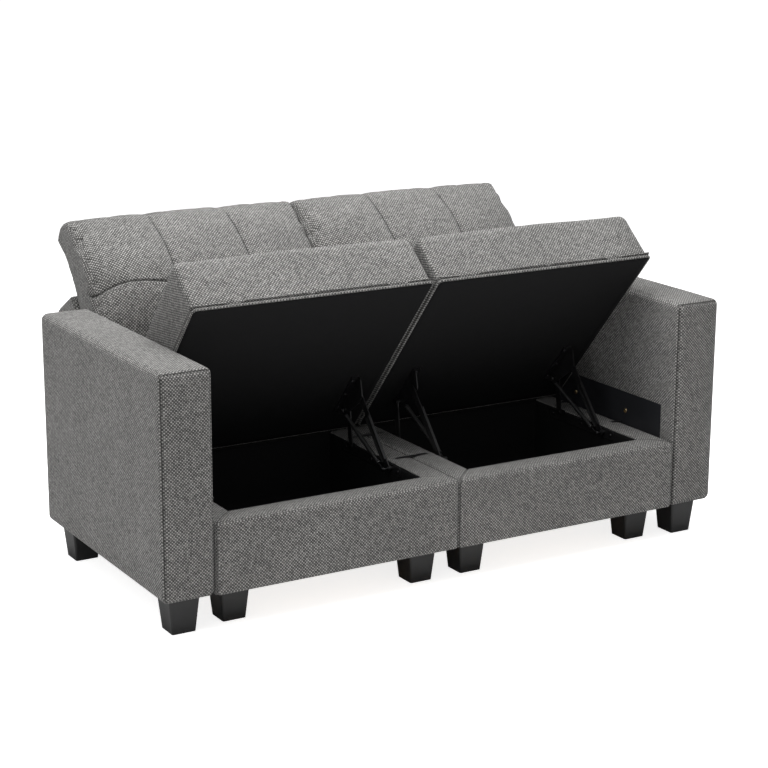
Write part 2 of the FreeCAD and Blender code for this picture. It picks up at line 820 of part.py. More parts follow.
def biarc(p0, t0, p1, t1):
    """Two arcs that leave p0 along t0 and reach p1 along t1."""
    v = p1 - p0
    t = t0 + t1
    a = 2 * (t0.dot(t1) - 1)
    b = -2 * v.dot(t)
    c = v.dot(v)
    if abs(a) < 1e-9:
        d = -c / b
    else:
        d = (-b - math.sqrt(b * b - 4 * a * c)) / (2 * a)
    q0 = p0 + t0 * d
    q1 = p1 - t1 * d
    m = (q0 + q1) * 0.5
    return [tangent_arc(p0, q0, m), tangent_arc(m, q1, p1)]


def tangent_arc(start, corner, end):
    u = (corner - start).normalize()
    w = (end - start).normalize()
    weight = u.dot(w)
    middle = (start + corner * (2 * weight) + end) * (1.0 / (2 + 2 * weight))
    return Part.Arc(start, middle, end).toShape()


def tube(edges, radius):
    """One unbroken wire of many-sided section along joined lines and arcs."""
    path = Part.Wire(edges)
    first = path.OrderedEdges[0]
    start = first.valueAt(first.FirstParameter)
    direction = first.tangentAt(first.FirstParameter)
    flat = direction.cross(vec(1, 0, 0)).normalize()
    other = direction.cross(flat)
    corners = []
    for k in range(wire_sides + 1):
        a = 2 * math.pi * k / wire_sides
        corners.append(start + flat * (radius * math.cos(a)) + other * (radius * math.sin(a)))
    return path.makePipeShell([Part.makePolygon(corners)], True, False)


def spring_frame(x):
    """Origin at the front base pin, with the spring's own axis, side and X directions."""
    angle = math.radians(heading(front_base, rear_open))
    along = vec(0, math.cos(angle), math.sin(angle))
    across = vec(0, -math.sin(angle), math.cos(angle))
    return vec(x, front_base[0], front_base[1]), along, across


def spring_coil(x):
    """Eye round the base pin, straight shank, coil and end collar of one tension spring."""
    origin, along, across = spring_frame(x)
    out = vec(1, 0, 0)
    eye = spring_eye_radius

    def ring(degrees):
        a = math.radians(degrees)
        return origin + along * (eye * math.cos(a)) + across * (eye * math.sin(a))

    edges = [
        Part.Arc(ring(48), ring(105), ring(180)).toShape(),
        Part.Arc(ring(180), ring(225), ring(270)).toShape(),
    ]
    neck_start = ring(270)
    coil_start = eye + spring_shank + spring_blend
    edges += biarc(neck_start, along, origin + along * (eye + spring_neck), along)
    edges.append(Part.makeLine(origin + along * (eye + spring_neck), origin + along * (eye + spring_shank)))

    def helix(turns):
        a = 2 * math.pi * turns
        centre = origin + along * (coil_start + spring_pitch * turns)
        spot = centre + across * (spring_coil_radius * math.cos(a)) + out * (spring_coil_radius * math.sin(a))
        way = (across * (-math.sin(a)) + out * math.cos(a)) * (2 * math.pi * spring_coil_radius)
        way = way + along * spring_pitch
        return spot, way.normalize()

    first, first_way = helix(0.0)
    edges += biarc(origin + along * (eye + spring_shank), along, first, first_way)
    steps = 2 * spring_turns
    for i in range(steps):
        a, ta = helix(0.5 * i)
        b, tb = helix(0.5 * (i + 1))
        edges += biarc(a, ta, b, tb)
    wire = tube(edges, spring_wire_radius)
    points = []
    for edge in edges:
        span = edge.LastParameter - edge.FirstParameter
        points += [edge.valueAt(edge.FirstParameter + span * k / 6) for k in range(6)]
    gaps.append(least_gap(points, spring_wire_radius, 12))
    end = coil_start + spring_pitch * spring_turns + spring_wire_radius
    collar = Part.makeCylinder(collar_radius, collar_length, origin + along * (end - collar_bite), along)
    bore = Part.makeCylinder(hook_rod_radius + collar_bore_gap, collar_length + 2 * overcut,
                             origin + along * (end - collar_bite - overcut), along)
    return wire, collar.cut(bore), end


def spring_hook(x):
    """Straight rod inside the coil, with an eye and its stud at the lid end."""
    origin, along, across = spring_frame(x)
    tip = origin + along * spring_open
    eye = spring_eye_radius
    rod_start = origin + along * (spring_eye_radius + spring_shank + spring_blend + hook_rod_inset)

    def ring(degrees):
        a = math.radians(degrees)
        return tip - along * (eye * math.cos(a)) - across * (eye * math.sin(a))

    neck = tip - along * (eye + spring_neck)
    edges = [Part.makeLine(rod_start, neck)]
    edges += biarc(neck, along, ring(270), along)
    edges.append(Part.Arc(ring(270), ring(225), ring(180)).toShape())
    edges.append(Part.Arc(ring(180), ring(105), ring(48)).toShape())
    return tube(edges, hook_rod_radius)


def least_gap(points, radius, apart):
    """Smallest clear distance between stretches of one tube, measured on points of its axis."""
    least = points[0].distanceToPoint(points[apart])
    for i in range(len(points)):
        for j in range(i + apart, len(points)):
            least = min(least, points[i].distanceToPoint(points[j]))
    return least - 2 * radius


def lift(side, name):
    """The two four-bar lifts of one lid, with their springs."""
    rails, rear_links, front_links, brackets = [], [], [], []
    base_pins, lid_pins, rivets, coils, hooks, screws, lid_screws = [], [], [], [], [], [], []
    walls = ((side_wall, 1.0), (module_width - side_wall, -1.0))
    for wall, inward in walls:
        def px(u):
            return wall + inward * u

        def slab(points, u0, u1):
            return plate(points, on_x(px(u0)), vec(inward * (u1 - u0), 0, 0))

        def pin(centre, u0, u1, radius):
            return stud(px(u0), px(u1), centre, radius)

        ear0 = rear_base[0] - rail_ear_front
        ear1 = rear_base[0] + rail_ear_rear
        ear_top = rear_base[1] + rail_ear_margin
        slope = rail_ear_slope
        r, re = rail_end_radius, rail_ear_radius
        rail = slab([(rail_front, rail_bottom, r), (rail_rear, rail_bottom, r),
                     (rail_rear, rail_top, r), (ear1 + slope, rail_top, re), (ear1, ear_top, re),
                     (ear0, ear_top, re), (ear0 - slope, rail_top, re), (rail_front, rail_top, r)],
                    0.0, rail_thickness)
        rails.append(rail)
        for y in rail_screw_places:
            z = 0.5 * (rail_bottom + rail_top)
            screws.append(pin((y, z), rail_thickness, rail_thickness + rail_screw_head, rail_screw_radius))
        hole = link_pin_radius + pin_clearance
        bar = bar_between(rear_base, rear_open, rear_link_width, on_x(px(link_plane)),
                          vec(inward * link_thickness, 0, 0))
        bar = bar.cut(pin(rear_base, link_plane - 1, link_face + 1, hole))
        bar = bar.cut(pin(rear_open, link_plane - 1, link_face + 1, hole))
        rear_links.append(bar)
        # Front link: flat bar with two lips along its middle stretch, which make it a channel
        bar = bar_between(front_base, front_open, front_link_width, on_x(px(front_plane)),
                          vec(inward * link_thickness, 0, 0))
        bar = bar.cut(pin(front_base, front_plane - 1, front_face + 1, hole))
        length = math.dist(front_base, front_open)
        angle = math.radians(heading(front_base, front_open))
        uy, uz = math.cos(angle), math.sin(angle)
        lips = []
        for edge in (-1.0, 1.0):
            outer = edge * 0.5 * front_link_width
            inner = edge * (0.5 * front_link_width - channel_lip_thickness)
            corners = []
            near, far = channel_start, length - channel_end
            for along, across in ((near, outer), (far, outer), (far, inner), (near, inner)):
                corners.append((front_base[0] + uy * along - uz * across,
                                front_base[1] + uz * along + uy * across, 0.0))
            lips.append(slab(corners, front_face, front_face + channel_lip))
        front_links.append(joined([bar] + lips))
        # Rivet of the front link at the lid: the bracket has no hole for it
        rivets.append(pin(front_open, front_face, bracket_plane - plane_gap, pin_collar_radius))
        # Pins on the rail
        base_pins.append(joined([
            pin(rear_base, rail_thickness, rail_thickness + rail_screw_head, pin_collar_radius),
            pin(rear_base, rail_thickness, head_plane + overcut, link_pin_radius),
            pin(rear_base, head_plane, head_plane + head_thickness, pin_collar_radius)]))
        cap_start = spring_offset + spring_pin_reach
        base_pins.append(joined([
            pin(front_base, rail_thickness, front_plane - plane_gap, pin_collar_radius),
            pin(front_base, front_plane - overcut, front_face + overcut, link_pin_radius),
            pin(front_base, front_face + plane_gap, front_face + plane_gap + head_thickness,
                pin_collar_radius),
            pin(front_base, front_face + plane_gap, cap_start + overcut, spring_pin_radius),
            pin(front_base, cap_start, cap_start + spring_cap_thickness,
                spring_eye_radius + spring_cap_overlap)]))
        # Lid bracket: upright cheek and a flange under the lid, made in the lid's frame
        half_pivot = 0.5 * bracket_pivot_width
        low_edge = lid_front_pivot[1] - bracket_pivot_edge
        top_edge = -bracket_seat_gap
        cheek = plate([(bracket_front, top_edge, 0.0),
                       (bracket_front, -bracket_front_depth, bracket_front_radius),
                       (lid_front_pivot[0] - half_pivot, low_edge, bracket_pivot_edge),
                       (lid_front_pivot[0] + half_pivot, low_edge, bracket_pivot_edge),
                       (bracket_rear - bracket_rear_slope, lid_rear_pivot[1] - bracket_rear_edge,
                        bracket_rear_radius),
                       (bracket_rear, top_edge, 0.0)],
                      on_x(px(bracket_plane)), vec(inward * bracket_thickness, 0, 0))
        xa = px(bracket_plane)
        xb = px(bracket_plane + bracket_flange)
        flange = block(min(xa, xb), max(xa, xb), bracket_front, bracket_rear, -bracket_thickness, top_edge)
        bracket = joined([cheek, flange])
        brackets.append(opened(bracket))
        for s in bracket_screw_places:
            x = px(bracket_plane + 0.62 * bracket_flange)
            head = Part.makeCylinder(rail_screw_radius, rail_screw_head,
                                     vec(x, s, -bracket_thickness - rail_screw_head), vec(0, 0, 1))
            lid_screws.append(opened(head))
        lid_pins.append(joined([
            pin(rear_open, link_plane - plane_gap - head_thickness, link_plane - plane_gap, pin_collar_radius),
            pin(rear_open, link_plane - plane_gap - 0.5 * head_thickness, bracket_plane, link_pin_radius),
            pin(rear_open, head_plane, bracket_plane, pin_collar_radius)]))
        lid_pins.append(pin(rear_open, bracket_face, bracket_face + head_thickness, pin_collar_radius))
        wire, collar, coil_end = spring_coil(px(spring_offset))
        coils += [wire, collar]
        hooks.append(spring_hook(px(spring_offset)))
        hooks.append(joined([
            pin(rear_open, stub_start, cap_start + overcut, spring_eye_radius - hook_rod_radius - pin_clearance),
            pin(rear_open, cap_start, cap_start + spring_cap_thickness,
                spring_eye_radius + spring_cap_overlap)]))
    made(handed(group(rails), side), name + "_lift_rails")
    made(handed(group(screws), side), name + "_rail_screws")
    made(handed(group(rear_links), side), name + "_rear_links")
    made(handed(group(front_links), side), name + "_front_links")
    made(handed(group(rivets), side), name + "_front_link_rivets")
    made(handed(group(base_pins), side), name + "_base_pins")
    made(handed(group(brackets), side), name + "_lid_brackets")
    made(handed(group(lid_screws), side), name + "_bracket_screws")
    made(handed(group(lid_pins), side), name + "_lid_pins")
    made(handed(group(coils), side), name + "_spring_coils")
    made(handed(group(hooks), side), name + "_spring_hooks")


bars = hook_bars()
made(group(bars["seam"]), "seam_hooks")
back_brackets()
lid_pieces = lid_local()
for name, side in sides.items():
    made(group(bars[name]), name + "_arm_hooks")
    seat_box(side, name)
    legs(side, name)
    arm(side, name)
    back_frame(side, name)
    back_cushion(side, name)
    lid(side, name, lid_pieces)
    lift(side, name)

low = min(shape.BoundBox.YMin for shape in nodes.values())
high = max(shape.BoundBox.YMax for shape in nodes.values())
shift = -0.5 * (low + high)
for name, shape in nodes.items():
    shape.translate(vec(0, shift, 0))
    shape.exportStep("parts/" + name + ".step")
    bad = [s for s in shape.Solids if not s.isValid() or s.Volume <= 0]
    print(name, len(shape.Solids), "solids", "volume", round(shape.Volume), "BAD" if bad else "")
print("nodes", len(nodes), "shift", shift)
print("least gap between spring curls", round(min(gaps), 3))


def placed_point(point):
    """A working (y, z) point in metres, in the final frame."""
    return [round((point[0] + shift) / 1000, 6), round(point[1] / 1000, 6)]


print("rear_base", placed_point(rear_base))
print("front_base", placed_point(front_base))
print("rear_open", placed_point(rear_open))
print("front_open", placed_point(front_open))
print("lift_travel", lift_travel)
print("front_travel", front_travel)
print("swing_travel", swing_travel)
print("spring_heading", heading(front_base, rear_open))
print("spring_draw", (spring_shut - spring_open) / 1000)
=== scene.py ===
# Storage sofa with its seats lifted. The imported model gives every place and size, in metres.
import bpy
import bmesh
import json
import math
import numpy as np
from mathutils import Matrix, Vector, noise
from mathutils.kdtree import KDTree


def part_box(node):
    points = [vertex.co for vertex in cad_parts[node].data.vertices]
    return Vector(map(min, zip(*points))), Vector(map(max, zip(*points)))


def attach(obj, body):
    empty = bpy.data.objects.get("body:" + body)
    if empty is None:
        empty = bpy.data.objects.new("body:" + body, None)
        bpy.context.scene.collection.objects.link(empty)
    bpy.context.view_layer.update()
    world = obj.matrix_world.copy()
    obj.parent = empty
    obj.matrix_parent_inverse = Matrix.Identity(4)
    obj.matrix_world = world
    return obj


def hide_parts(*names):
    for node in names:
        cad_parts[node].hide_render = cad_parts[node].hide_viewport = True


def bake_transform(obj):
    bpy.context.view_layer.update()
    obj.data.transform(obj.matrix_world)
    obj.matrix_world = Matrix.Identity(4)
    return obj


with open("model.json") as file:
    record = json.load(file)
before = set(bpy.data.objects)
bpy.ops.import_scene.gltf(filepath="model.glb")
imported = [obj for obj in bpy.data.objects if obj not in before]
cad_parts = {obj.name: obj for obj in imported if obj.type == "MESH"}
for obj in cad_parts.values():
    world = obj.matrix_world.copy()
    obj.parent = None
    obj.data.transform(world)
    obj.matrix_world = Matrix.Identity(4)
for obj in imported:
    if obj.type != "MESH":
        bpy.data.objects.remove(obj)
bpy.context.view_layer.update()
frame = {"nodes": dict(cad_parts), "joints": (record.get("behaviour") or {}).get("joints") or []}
print("frame loaded,", len(frame["nodes"]), "nodes")

sides = {"left": -1.0, "right": 1.0}
mm = 0.001

# Places that several pieces share, read from the frame
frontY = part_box("left_arm_cover")[0][1]


def jointNamed(name):
    return next(joint for joint in frame["joints"] if joint["name"] == name)


# Node helpers

def addNode(tree, kind, inputs=None, **settings):
    # A node with its settings, and each input either linked or set
    node = tree.nodes.new(kind)
    for key, value in settings.items():
        setattr(node, key, value)
    for key, value in (inputs or {}).items():
        if isinstance(value, bpy.types.NodeSocket):
            tree.links.new(value, node.inputs[key])
        else:
            node.inputs[key].default_value = value
    return node


def newMaterial(name):
    material = bpy.data.materials.new(name)
    material.use_nodes = True
    tree = material.node_tree
    return material, tree, tree.nodes["Principled BSDF"]


def mathNode(tree, kind, a, b=None):
    inputs = {0: a} if b is None else {0: a, 1: b}
    return addNode(tree, "ShaderNodeMath", inputs, operation=kind).outputs[0]


def mixColour(tree, share, first, second, kind="MIX"):
    inputs = {0: share, 6: first, 7: second}
    inputs = {key: (*value, 1.0) if isinstance(value, tuple) else value for key, value in inputs.items()}
    return addNode(tree, "ShaderNodeMix", inputs, data_type="RGBA", blend_type=kind).outputs[2]


def noiseNode(tree, vector, scale, detail=2.0, rough=0.5):
    inputs = {"Vector": vector, "Scale": scale, "Detail": detail, "Roughness": rough}
    return addNode(tree, "ShaderNodeTexNoise", inputs).outputs["Fac"]


def rampNode(tree, value, low, high, outLow=0.0, outHigh=1.0):
    inputs = {"Value": value, "From Min": low, "From Max": high, "To Min": outLow, "To Max": outHigh}
    return addNode(tree, "ShaderNodeMapRange", inputs).outputs[0]


def objectPlace(tree):
    return tree.nodes.new("ShaderNodeTexCoord").outputs["Object"]


def coat(tree, shader, colour, rough, height, distance, strength):
    # Colour, roughness and a bump of a given height field
    bump = addNode(tree, "ShaderNodeBump", {"Height": height, "Distance": distance, "Strength": strength})
    tree.links.new(colour, shader.inputs["Base Color"])
    tree.links.new(rough, shader.inputs["Roughness"])
    tree.links.new(bump.outputs[0], shader.inputs["Normal"])


clothLook = {
    "yarnPitch": 4.3 * mm,      # one yarn to the next
    "wobble": 1.6 * mm,
    "light": (0.41, 0.403, 0.39),
    "mid": (0.124, 0.122, 0.118),
    "dark": (0.016, 0.016, 0.0155),
    # near-black colour that the painted shade in seams, creases and shaded strips is mixed towards
    "seam": (0.022, 0.022, 0.021),
    "fleck": 0.34,              # how far single yarns stray from the mean
    "slub": 0.5,
    "warpLift": 0.56,           # crossings where the warp lies on top come out paler than those of the weft by this share
    "relief": 1.1 * mm,
}


def greyWeave():
    # Plain weave on the piece's own map: warp and weft pass over each other in a checker
    look = clothLook
    material, tree, shader = newMaterial("greyWeave")
    cloth = addNode(tree, "ShaderNodeUVMap", uv_map="cloth").outputs[0]
    place = objectPlace(tree)
    wobble = addNode(tree, "ShaderNodeTexNoise", {"Vector": place, "Scale": 55.0, "Detail": 1.0})
    inputs = {0: wobble.outputs["Color"], 1: (look["wobble"], look["wobble"], 0), 2: cloth}
    bend = addNode(tree, "ShaderNodeVectorMath", inputs, operation="MULTIPLY_ADD")
    split = addNode(tree, "ShaderNodeSeparateXYZ", {0: bend.outputs[0]})
    yarns, rounds = [], []
    for axis in range(2):
        run = mathNode(tree, "DIVIDE", split.outputs[axis], look["yarnPitch"])
        yarns.append(mathNode(tree, "FLOOR", run))
        wave = mathNode(tree, "SINE", mathNode(tree, "MULTIPLY", run, math.pi))
        rounds.append(mathNode(tree, "ABSOLUTE", wave))
    crossing = mathNode(tree, "MODULO", mathNode(tree, "ADD", *yarns), 2.0)
    over = mathNode(tree, "GREATER_THAN", mathNode(tree, "ABSOLUTE", crossing), 0.5)
    # The yarn on top is round across and dips at its ends
    tops = [mathNode(tree, "MULTIPLY", across, mathNode(tree, "POWER", along, 0.5))
            for across, along in (rounds, rounds[::-1])]
    height = addNode(tree, "ShaderNodeMix", {0: over, 2: tops[0], 3: tops[1]}).outputs[0]
    # Each crossing has its own shade, and whole stretches of yarn run lighter or darker
    cell = addNode(tree, "ShaderNodeCombineXYZ", {0: yarns[0], 1: yarns[1]}).outputs[0]
    shade = addNode(tree, "ShaderNodeTexWhiteNoise", {"Vector": cell}, noise_dimensions="2D")
    slub = addNode(tree, "ShaderNodeTexNoise", {"Vector": cell, "Scale": 0.35, "Detail": 2.0})
    strays = ((shade.outputs[0], look["fleck"]), (slub.outputs["Fac"], look["slub"]), (over, look["warpLift"]))
    # Each yarn is painted paler on its crown and darker where it dips into the gaps between yarns: painted
    # shade of the weave's relief
    tone = rampNode(tree, height, 0.0, 0.9, 0.12, 0.72)
    for value, reach in strays:
        away = mathNode(tree, "MULTIPLY", mathNode(tree, "SUBTRACT", value, 0.5), reach)
        tone = mathNode(tree, "ADD", tone, away)
    ramp = addNode(tree, "ShaderNodeValToRGB", {0: tone})
    first, last = ramp.color_ramp.elements
    first.position, last.position = 0.0, 1.0
    first.color, last.color = (*look["dark"], 1), (*look["light"], 1)
    middle = ramp.color_ramp.elements.new(0.45)
    middle.color = (*look["mid"], 1)
    mottle = rampNode(tree, noiseNode(tree, place, 7.0, 3.0, 0.6), 0.3, 0.7, 0.9, 1.08)
    grey = addNode(tree, "ShaderNodeCombineColor", {channel: mottle for channel in range(3)})
    colour = mixColour(tree, 1.0, ramp.outputs[0], grey.outputs[0], "MULTIPLY")
    # Painted shade: seam grooves, creases, the lid cushion's bottom strip and the rear rail's top are mixed
    # towards near black, with most sheen and specular taken away there
    seam = addNode(tree, "ShaderNodeAttribute", attribute_name="seam").outputs["Fac"]
    colour = mixColour(tree, seam, colour, look["seam"])
    tree.links.new(rampNode(tree, seam, 0.3, 0.85, 0.12, 0.0), shader.inputs["Sheen Weight"])
    tree.links.new(rampNode(tree, seam, 0.3, 0.85, 0.25, 0.03), shader.inputs["Specular IOR Level"])
    shader.inputs["Sheen Roughness"].default_value = 0.5
    coat(tree, shader, colour, rampNode(tree, height, 0.0, 1.0, 0.97, 0.86), height, look["relief"], 0.75)
    return material


def blackFelt():
    # Thin non-woven lining: dull fibres with a faint pressed dot grid
    material, tree, shader = newMaterial("blackFelt")
    place = objectPlace(tree)
    fibres = noiseNode(tree, place, 420.0, 4.0, 0.7)
    folds = noiseNode(tree, place, 9.0, 3.0, 0.55)
    dots = addNode(tree, "ShaderNodeTexVoronoi", {"Vector": place, "Scale": 260.0, "Randomness": 0.35})
    share = rampNode(tree, fibres, 0.35, 0.7)
    colour = mixColour(tree, share, (0.0055, 0.0055, 0.006), (0.0125, 0.0125, 0.013))
    pressed = mathNode(tree, "MULTIPLY", rampNode(tree, dots.outputs[0], 0.0, 0.5), 0.12)
    height = mathNode(tree, "ADD", mathNode(tree, "MULTIPLY", folds, 2.2), pressed)
    shader.inputs["Specular IOR Level"].default_value = 0.2
    coat(tree, shader, colour, rampNode(tree, fibres, 0.3, 0.7, 0.8, 0.97), height, 2.0 * mm, 0.5)
    return material


def mouldedBlack():
    # Leg plastic: fine spark-eroded grain, a little paler where the foot has scuffed
    material, tree, shader = newMaterial("mouldedBlack")
    place = objectPlace(tree)
    grain = noiseNode(tree, place, 900.0, 3.0, 0.6)
    flow = noiseNode(tree, place, 14.0, 2.0, 0.5)
    split = addNode(tree, "ShaderNodeSeparateXYZ", {0: place})
    rubbed = rampNode(tree, noiseNode(tree, place, 160.0, 4.0, 0.7), 0.45, 0.7)
    scuff = mathNode(tree, "MULTIPLY", rampNode(tree, split.outputs[2], 0.012, 0.0), rubbed)
    colour = mixColour(tree, rampNode(tree, flow, 0.3, 0.7), (0.006, 0.006, 0.0063), (0.011, 0.011, 0.0115))
    colour = mixColour(tree, mathNode(tree, "MULTIPLY", scuff, 0.5), colour, (0.06, 0.06, 0.06))
    coat(tree, shader, colour, rampNode(tree, grain, 0.3, 0.7, 0.38, 0.56), grain, 0.15 * mm, 0.4)
    return material


def panelBlack():
    material, tree, shader = newMaterial("panelBlack")
    place = objectPlace(tree)
    grain = noiseNode(tree, place, 600.0, 3.0, 0.6)
    haze = noiseNode(tree, place, 6.0, 4.0, 0.6)
    colour = mixColour(tree, rampNode(tree, haze, 0.3, 0.7), (0.011, 0.0115, 0.014), (0.02, 0.021, 0.025))
    coat(tree, shader, colour, rampNode(tree, haze, 0.3, 0.7, 0.42, 0.6), grain, 0.12 * mm, 0.35)
    return material


def coatedSteel():
    # Satin black coat on pressed steel, worn to grey in spots
    material, tree, shader = newMaterial("coatedSteel")
    place = objectPlace(tree)
    peel = noiseNode(tree, place, 350.0, 2.0, 0.5)
    worn = rampNode(tree, noiseNode(tree, place, 90.0, 5.0, 0.75), 0.66, 0.74)
    cloud = rampNode(tree, noiseNode(tree, place, 25.0), 0.3, 0.7)
    colour = mixColour(tree, cloud, (0.008, 0.008, 0.0085), (0.016, 0.016, 0.017))
    colour = mixColour(tree, mathNode(tree, "MULTIPLY", worn, 0.6), colour, (0.11, 0.11, 0.11))
    shader.inputs["Coat Weight"].default_value = 0.25
    coat(tree, shader, colour, rampNode(tree, peel, 0.3, 0.7, 0.3, 0.42), peel, 0.12 * mm, 0.4)
    return material


def platedSteel(name, pale, dull):
    # Plated and turned metal with small cloudy stains
    material, tree, shader = newMaterial(name)
    place = objectPlace(tree)
    cloud = noiseNode(tree, place, 240.0, 3.0, 0.6)
    turned = addNode(tree, "ShaderNodeTexWave", {"Vector": place, "Scale": 900.0, "Distortion": 1.5},
                     wave_type="RINGS", rings_direction="X")
    colour = mixColour(tree, rampNode(tree, cloud, 0.3, 0.7), dull, pale)
    shader.inputs["Metallic"].default_value = 1.0
    rough = rampNode(tree, cloud, 0.3, 0.7, 0.42, 0.26)
    coat(tree, shader, colour, rough, turned.outputs["Fac"], 0.05 * mm, 0.25)
    return material


def sawnWood():
    # Frame timber, seen only from below: long grain with fine darker streaks
    material, tree, shader = newMaterial("sawnWood")
    inputs = {"Vector": objectPlace(tree), "Scale": (1.0, 9.0, 9.0)}
    stretch = addNode(tree, "ShaderNodeMapping", inputs).outputs[0]
    grain = noiseNode(tree, stretch, 12.0, 6.0, 0.65)
    fine = noiseNode(tree, stretch, 160.0, 3.0, 0.6)
    colour = mixColour(tree, rampNode(tree, grain, 0.35, 0.65), (0.36, 0.23, 0.12), (0.56, 0.4, 0.24))
    colour = mixColour(tree, rampNode(tree, fine, 0.35, 0.75, 0.0, 0.35), colour, (0.25, 0.15, 0.08))
    coat(tree, shader, colour, rampNode(tree, fine, 0.3, 0.7, 0.6, 0.85), fine, 0.4 * mm, 0.4)
    return material


weave = greyWeave()
felt = blackFelt()
plastic = mouldedBlack()
panelFinish = panelBlack()
steel = coatedSteel()
zinc = platedSteel("blackZinc", (0.13, 0.13, 0.135), (0.05, 0.05, 0.052))
yellowZinc = platedSteel("yellowZinc", (0.6, 0.46, 0.26), (0.38, 0.28, 0.15))
wood = sawnWood()
print("materials made")


# Mesh helpers

def meshPiece(name, points, faces, material):
    mesh = bpy.data.meshes.new(name)
    mesh.from_pydata([tuple(p) for p in points], [], faces)
    mesh.update()
    piece = bpy.data.objects.new(name, mesh)
    bpy.context.scene.collection.objects.link(piece)
    mesh.materials.append(material)
    return piece


def stripFaces(rows, count):
    # Faces between closed rings of points that follow each other
    faces = []
    for j in range(rows - 1):
        for i in range(count):
            k = (i + 1) % count
            faces.append([j * count + i, j * count + k, (j + 1) * count + k, (j + 1) * count + i])
    return faces


def addThickness(piece, label, thickness, offset):
    solid = piece.modifiers.new(label, "SOLIDIFY")
    solid.thickness = thickness
    solid.offset = offset


def smoothAll(piece):
    piece.data.polygons.foreach_set("use_smooth", [True] * len(piece.data.polygons))


def outwards(piece):
    # Turn every face outwards
    work = bmesh.new()
    work.from_mesh(piece.data)
    bmesh.ops.recalc_face_normals(work, faces=work.faces)
    work.to_mesh(piece.data)
    work.free()


def readVectors(items, key):
    flat = np.empty(len(items) * 3)
    items.foreach_get(key, flat)
    return flat.reshape(-1, 3)


def vertexArray(piece):
    return readVectors(piece.data.vertices, "co")


def vertexNormals(piece):
    return readVectors(piece.data.vertex_normals, "vector")


def setVertices(piece, points):
    piece.data.vertices.foreach_set("co", np.asarray(points, dtype=float).ravel())
    piece.data.update()


# Share of painted shade at each point; the cloth is darkened towards near black by it
def writePaintedShade(piece, values):
    layer = piece.data.attributes.new("seam", "FLOAT", "POINT")
    layer.data.foreach_set("value", np.clip(np.asarray(values, dtype=float), 0.0, 1.0))


def cornerData(piece):
    # Per face corner: its vertex, and the way its face looks
    mesh = piece.data
    corners = np.empty(len(mesh.loops), dtype=int)
    mesh.loops.foreach_get("vertex_index", corners)
    totals = np.empty(len(mesh.polygons), dtype=int)
    mesh.polygons.foreach_get("loop_total", totals)
    return corners, np.repeat(readVectors(mesh.polygons, "normal"), totals, axis=0)


def writeMap(piece, u, v):
    layer = piece.data.uv_layers.new(name="cloth")
    layer.data.foreach_set("uv", np.stack([u, v], axis=1).ravel())


def layCloth(piece):
    # Flat map per panel, in metres: each face is seen along the main axis that it faces
    corners, ways = cornerData(piece)
    facing = np.argmax(np.abs(ways), axis=1)
    here = vertexArray(piece)[corners]
    across = np.where(facing == 0, here[:, 1], here[:, 0])
    writeMap(piece, across, np.where(facing == 2, here[:, 1], here[:, 2]))


def ripple(points, scale, seed):
    # Smooth noise from -1 to 1 at each point
    shift = Vector((seed * 7.3, seed * 3.1, seed * 5.7))
    return np.array([noise.noise(Vector(p) * scale + shift) for p in points])


def roundedSteps(low, high, radius, spacing, edgeSteps=9, extra=()):
    # Cuts along one axis of a soft box: fine over both round edges, even between
    edge = [radius * (1 - math.tan(math.radians(45 * (1 - k / edgeSteps)))) for k in range(edgeSteps)]
    inner = max(2, int((high - low - 2 * radius) / spacing))
    middle = [low + radius + (high - low - 2 * radius) * k / inner for k in range(inner + 1)]
    cuts = [low + e for e in edge] + middle + [high - e for e in reversed(edge)]
    return sorted(set(round(c, 7) for c in cuts) | set(round(e, 7) for e in extra))


def softBox(name, low, high, radius, spacing, material, extra=((), (), ())):
    # Closed box with round edges, as a fine grid; returns the piece, its outward way and seam distance
    cuts = [roundedSteps(low[a], high[a], radius, spacing, extra=extra[a]) for a in range(3)]
    points, faces, known = [], [], {}

    def vertex(p):
        key = (round(p[0], 6), round(p[1], 6), round(p[2], 6))
        if key not in known:
            known[key] = len(points)
            points.append(p)
        return known[key]

    for axis in range(3):
        u, v = (axis + 1) % 3, (axis + 2) % 3
        for level in (low[axis], high[axis]):
            for i in range(len(cuts[u]) - 1):
                for j in range(len(cuts[v]) - 1):
                    ring = []
                    for a, b in ((i, j), (i + 1, j), (i + 1, j + 1), (i, j + 1)):
                        p = [0.0, 0.0, 0.0]
                        p[axis], p[u], p[v] = level, cuts[u][a], cuts[v][b]
                        ring.append(vertex(p))
                    faces.append(ring if level == high[axis] else ring[::-1])
    points = np.array(points)
    inner = np.clip(points, np.array(low) + radius, np.array(high) - radius)
    way = points - inner
    way /= np.linalg.norm(way, axis=1, keepdims=True)
    piece = meshPiece(name, inner + way * radius, faces, material)
    smoothAll(piece)
    size = np.sort(np.abs(way), axis=1)
    fromSeam = radius * (math.pi / 4 - np.arctan2(size[:, 1], size[:, 2]))
    return piece, way, fromSeam


def finish(piece, body, nodes, slot, fill=None):
    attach(piece, body)
    if nodes:
        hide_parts(*nodes)


armLook = {
    "edge": 17 * mm,            # soft edge along the top
    "spacing": 13 * mm,
    "puff": 3.0 * mm,
    "waves": 1.1 * mm,
    "seamDepth": 2.6 * mm,
    "seamWidth": 2.2 * mm,
}


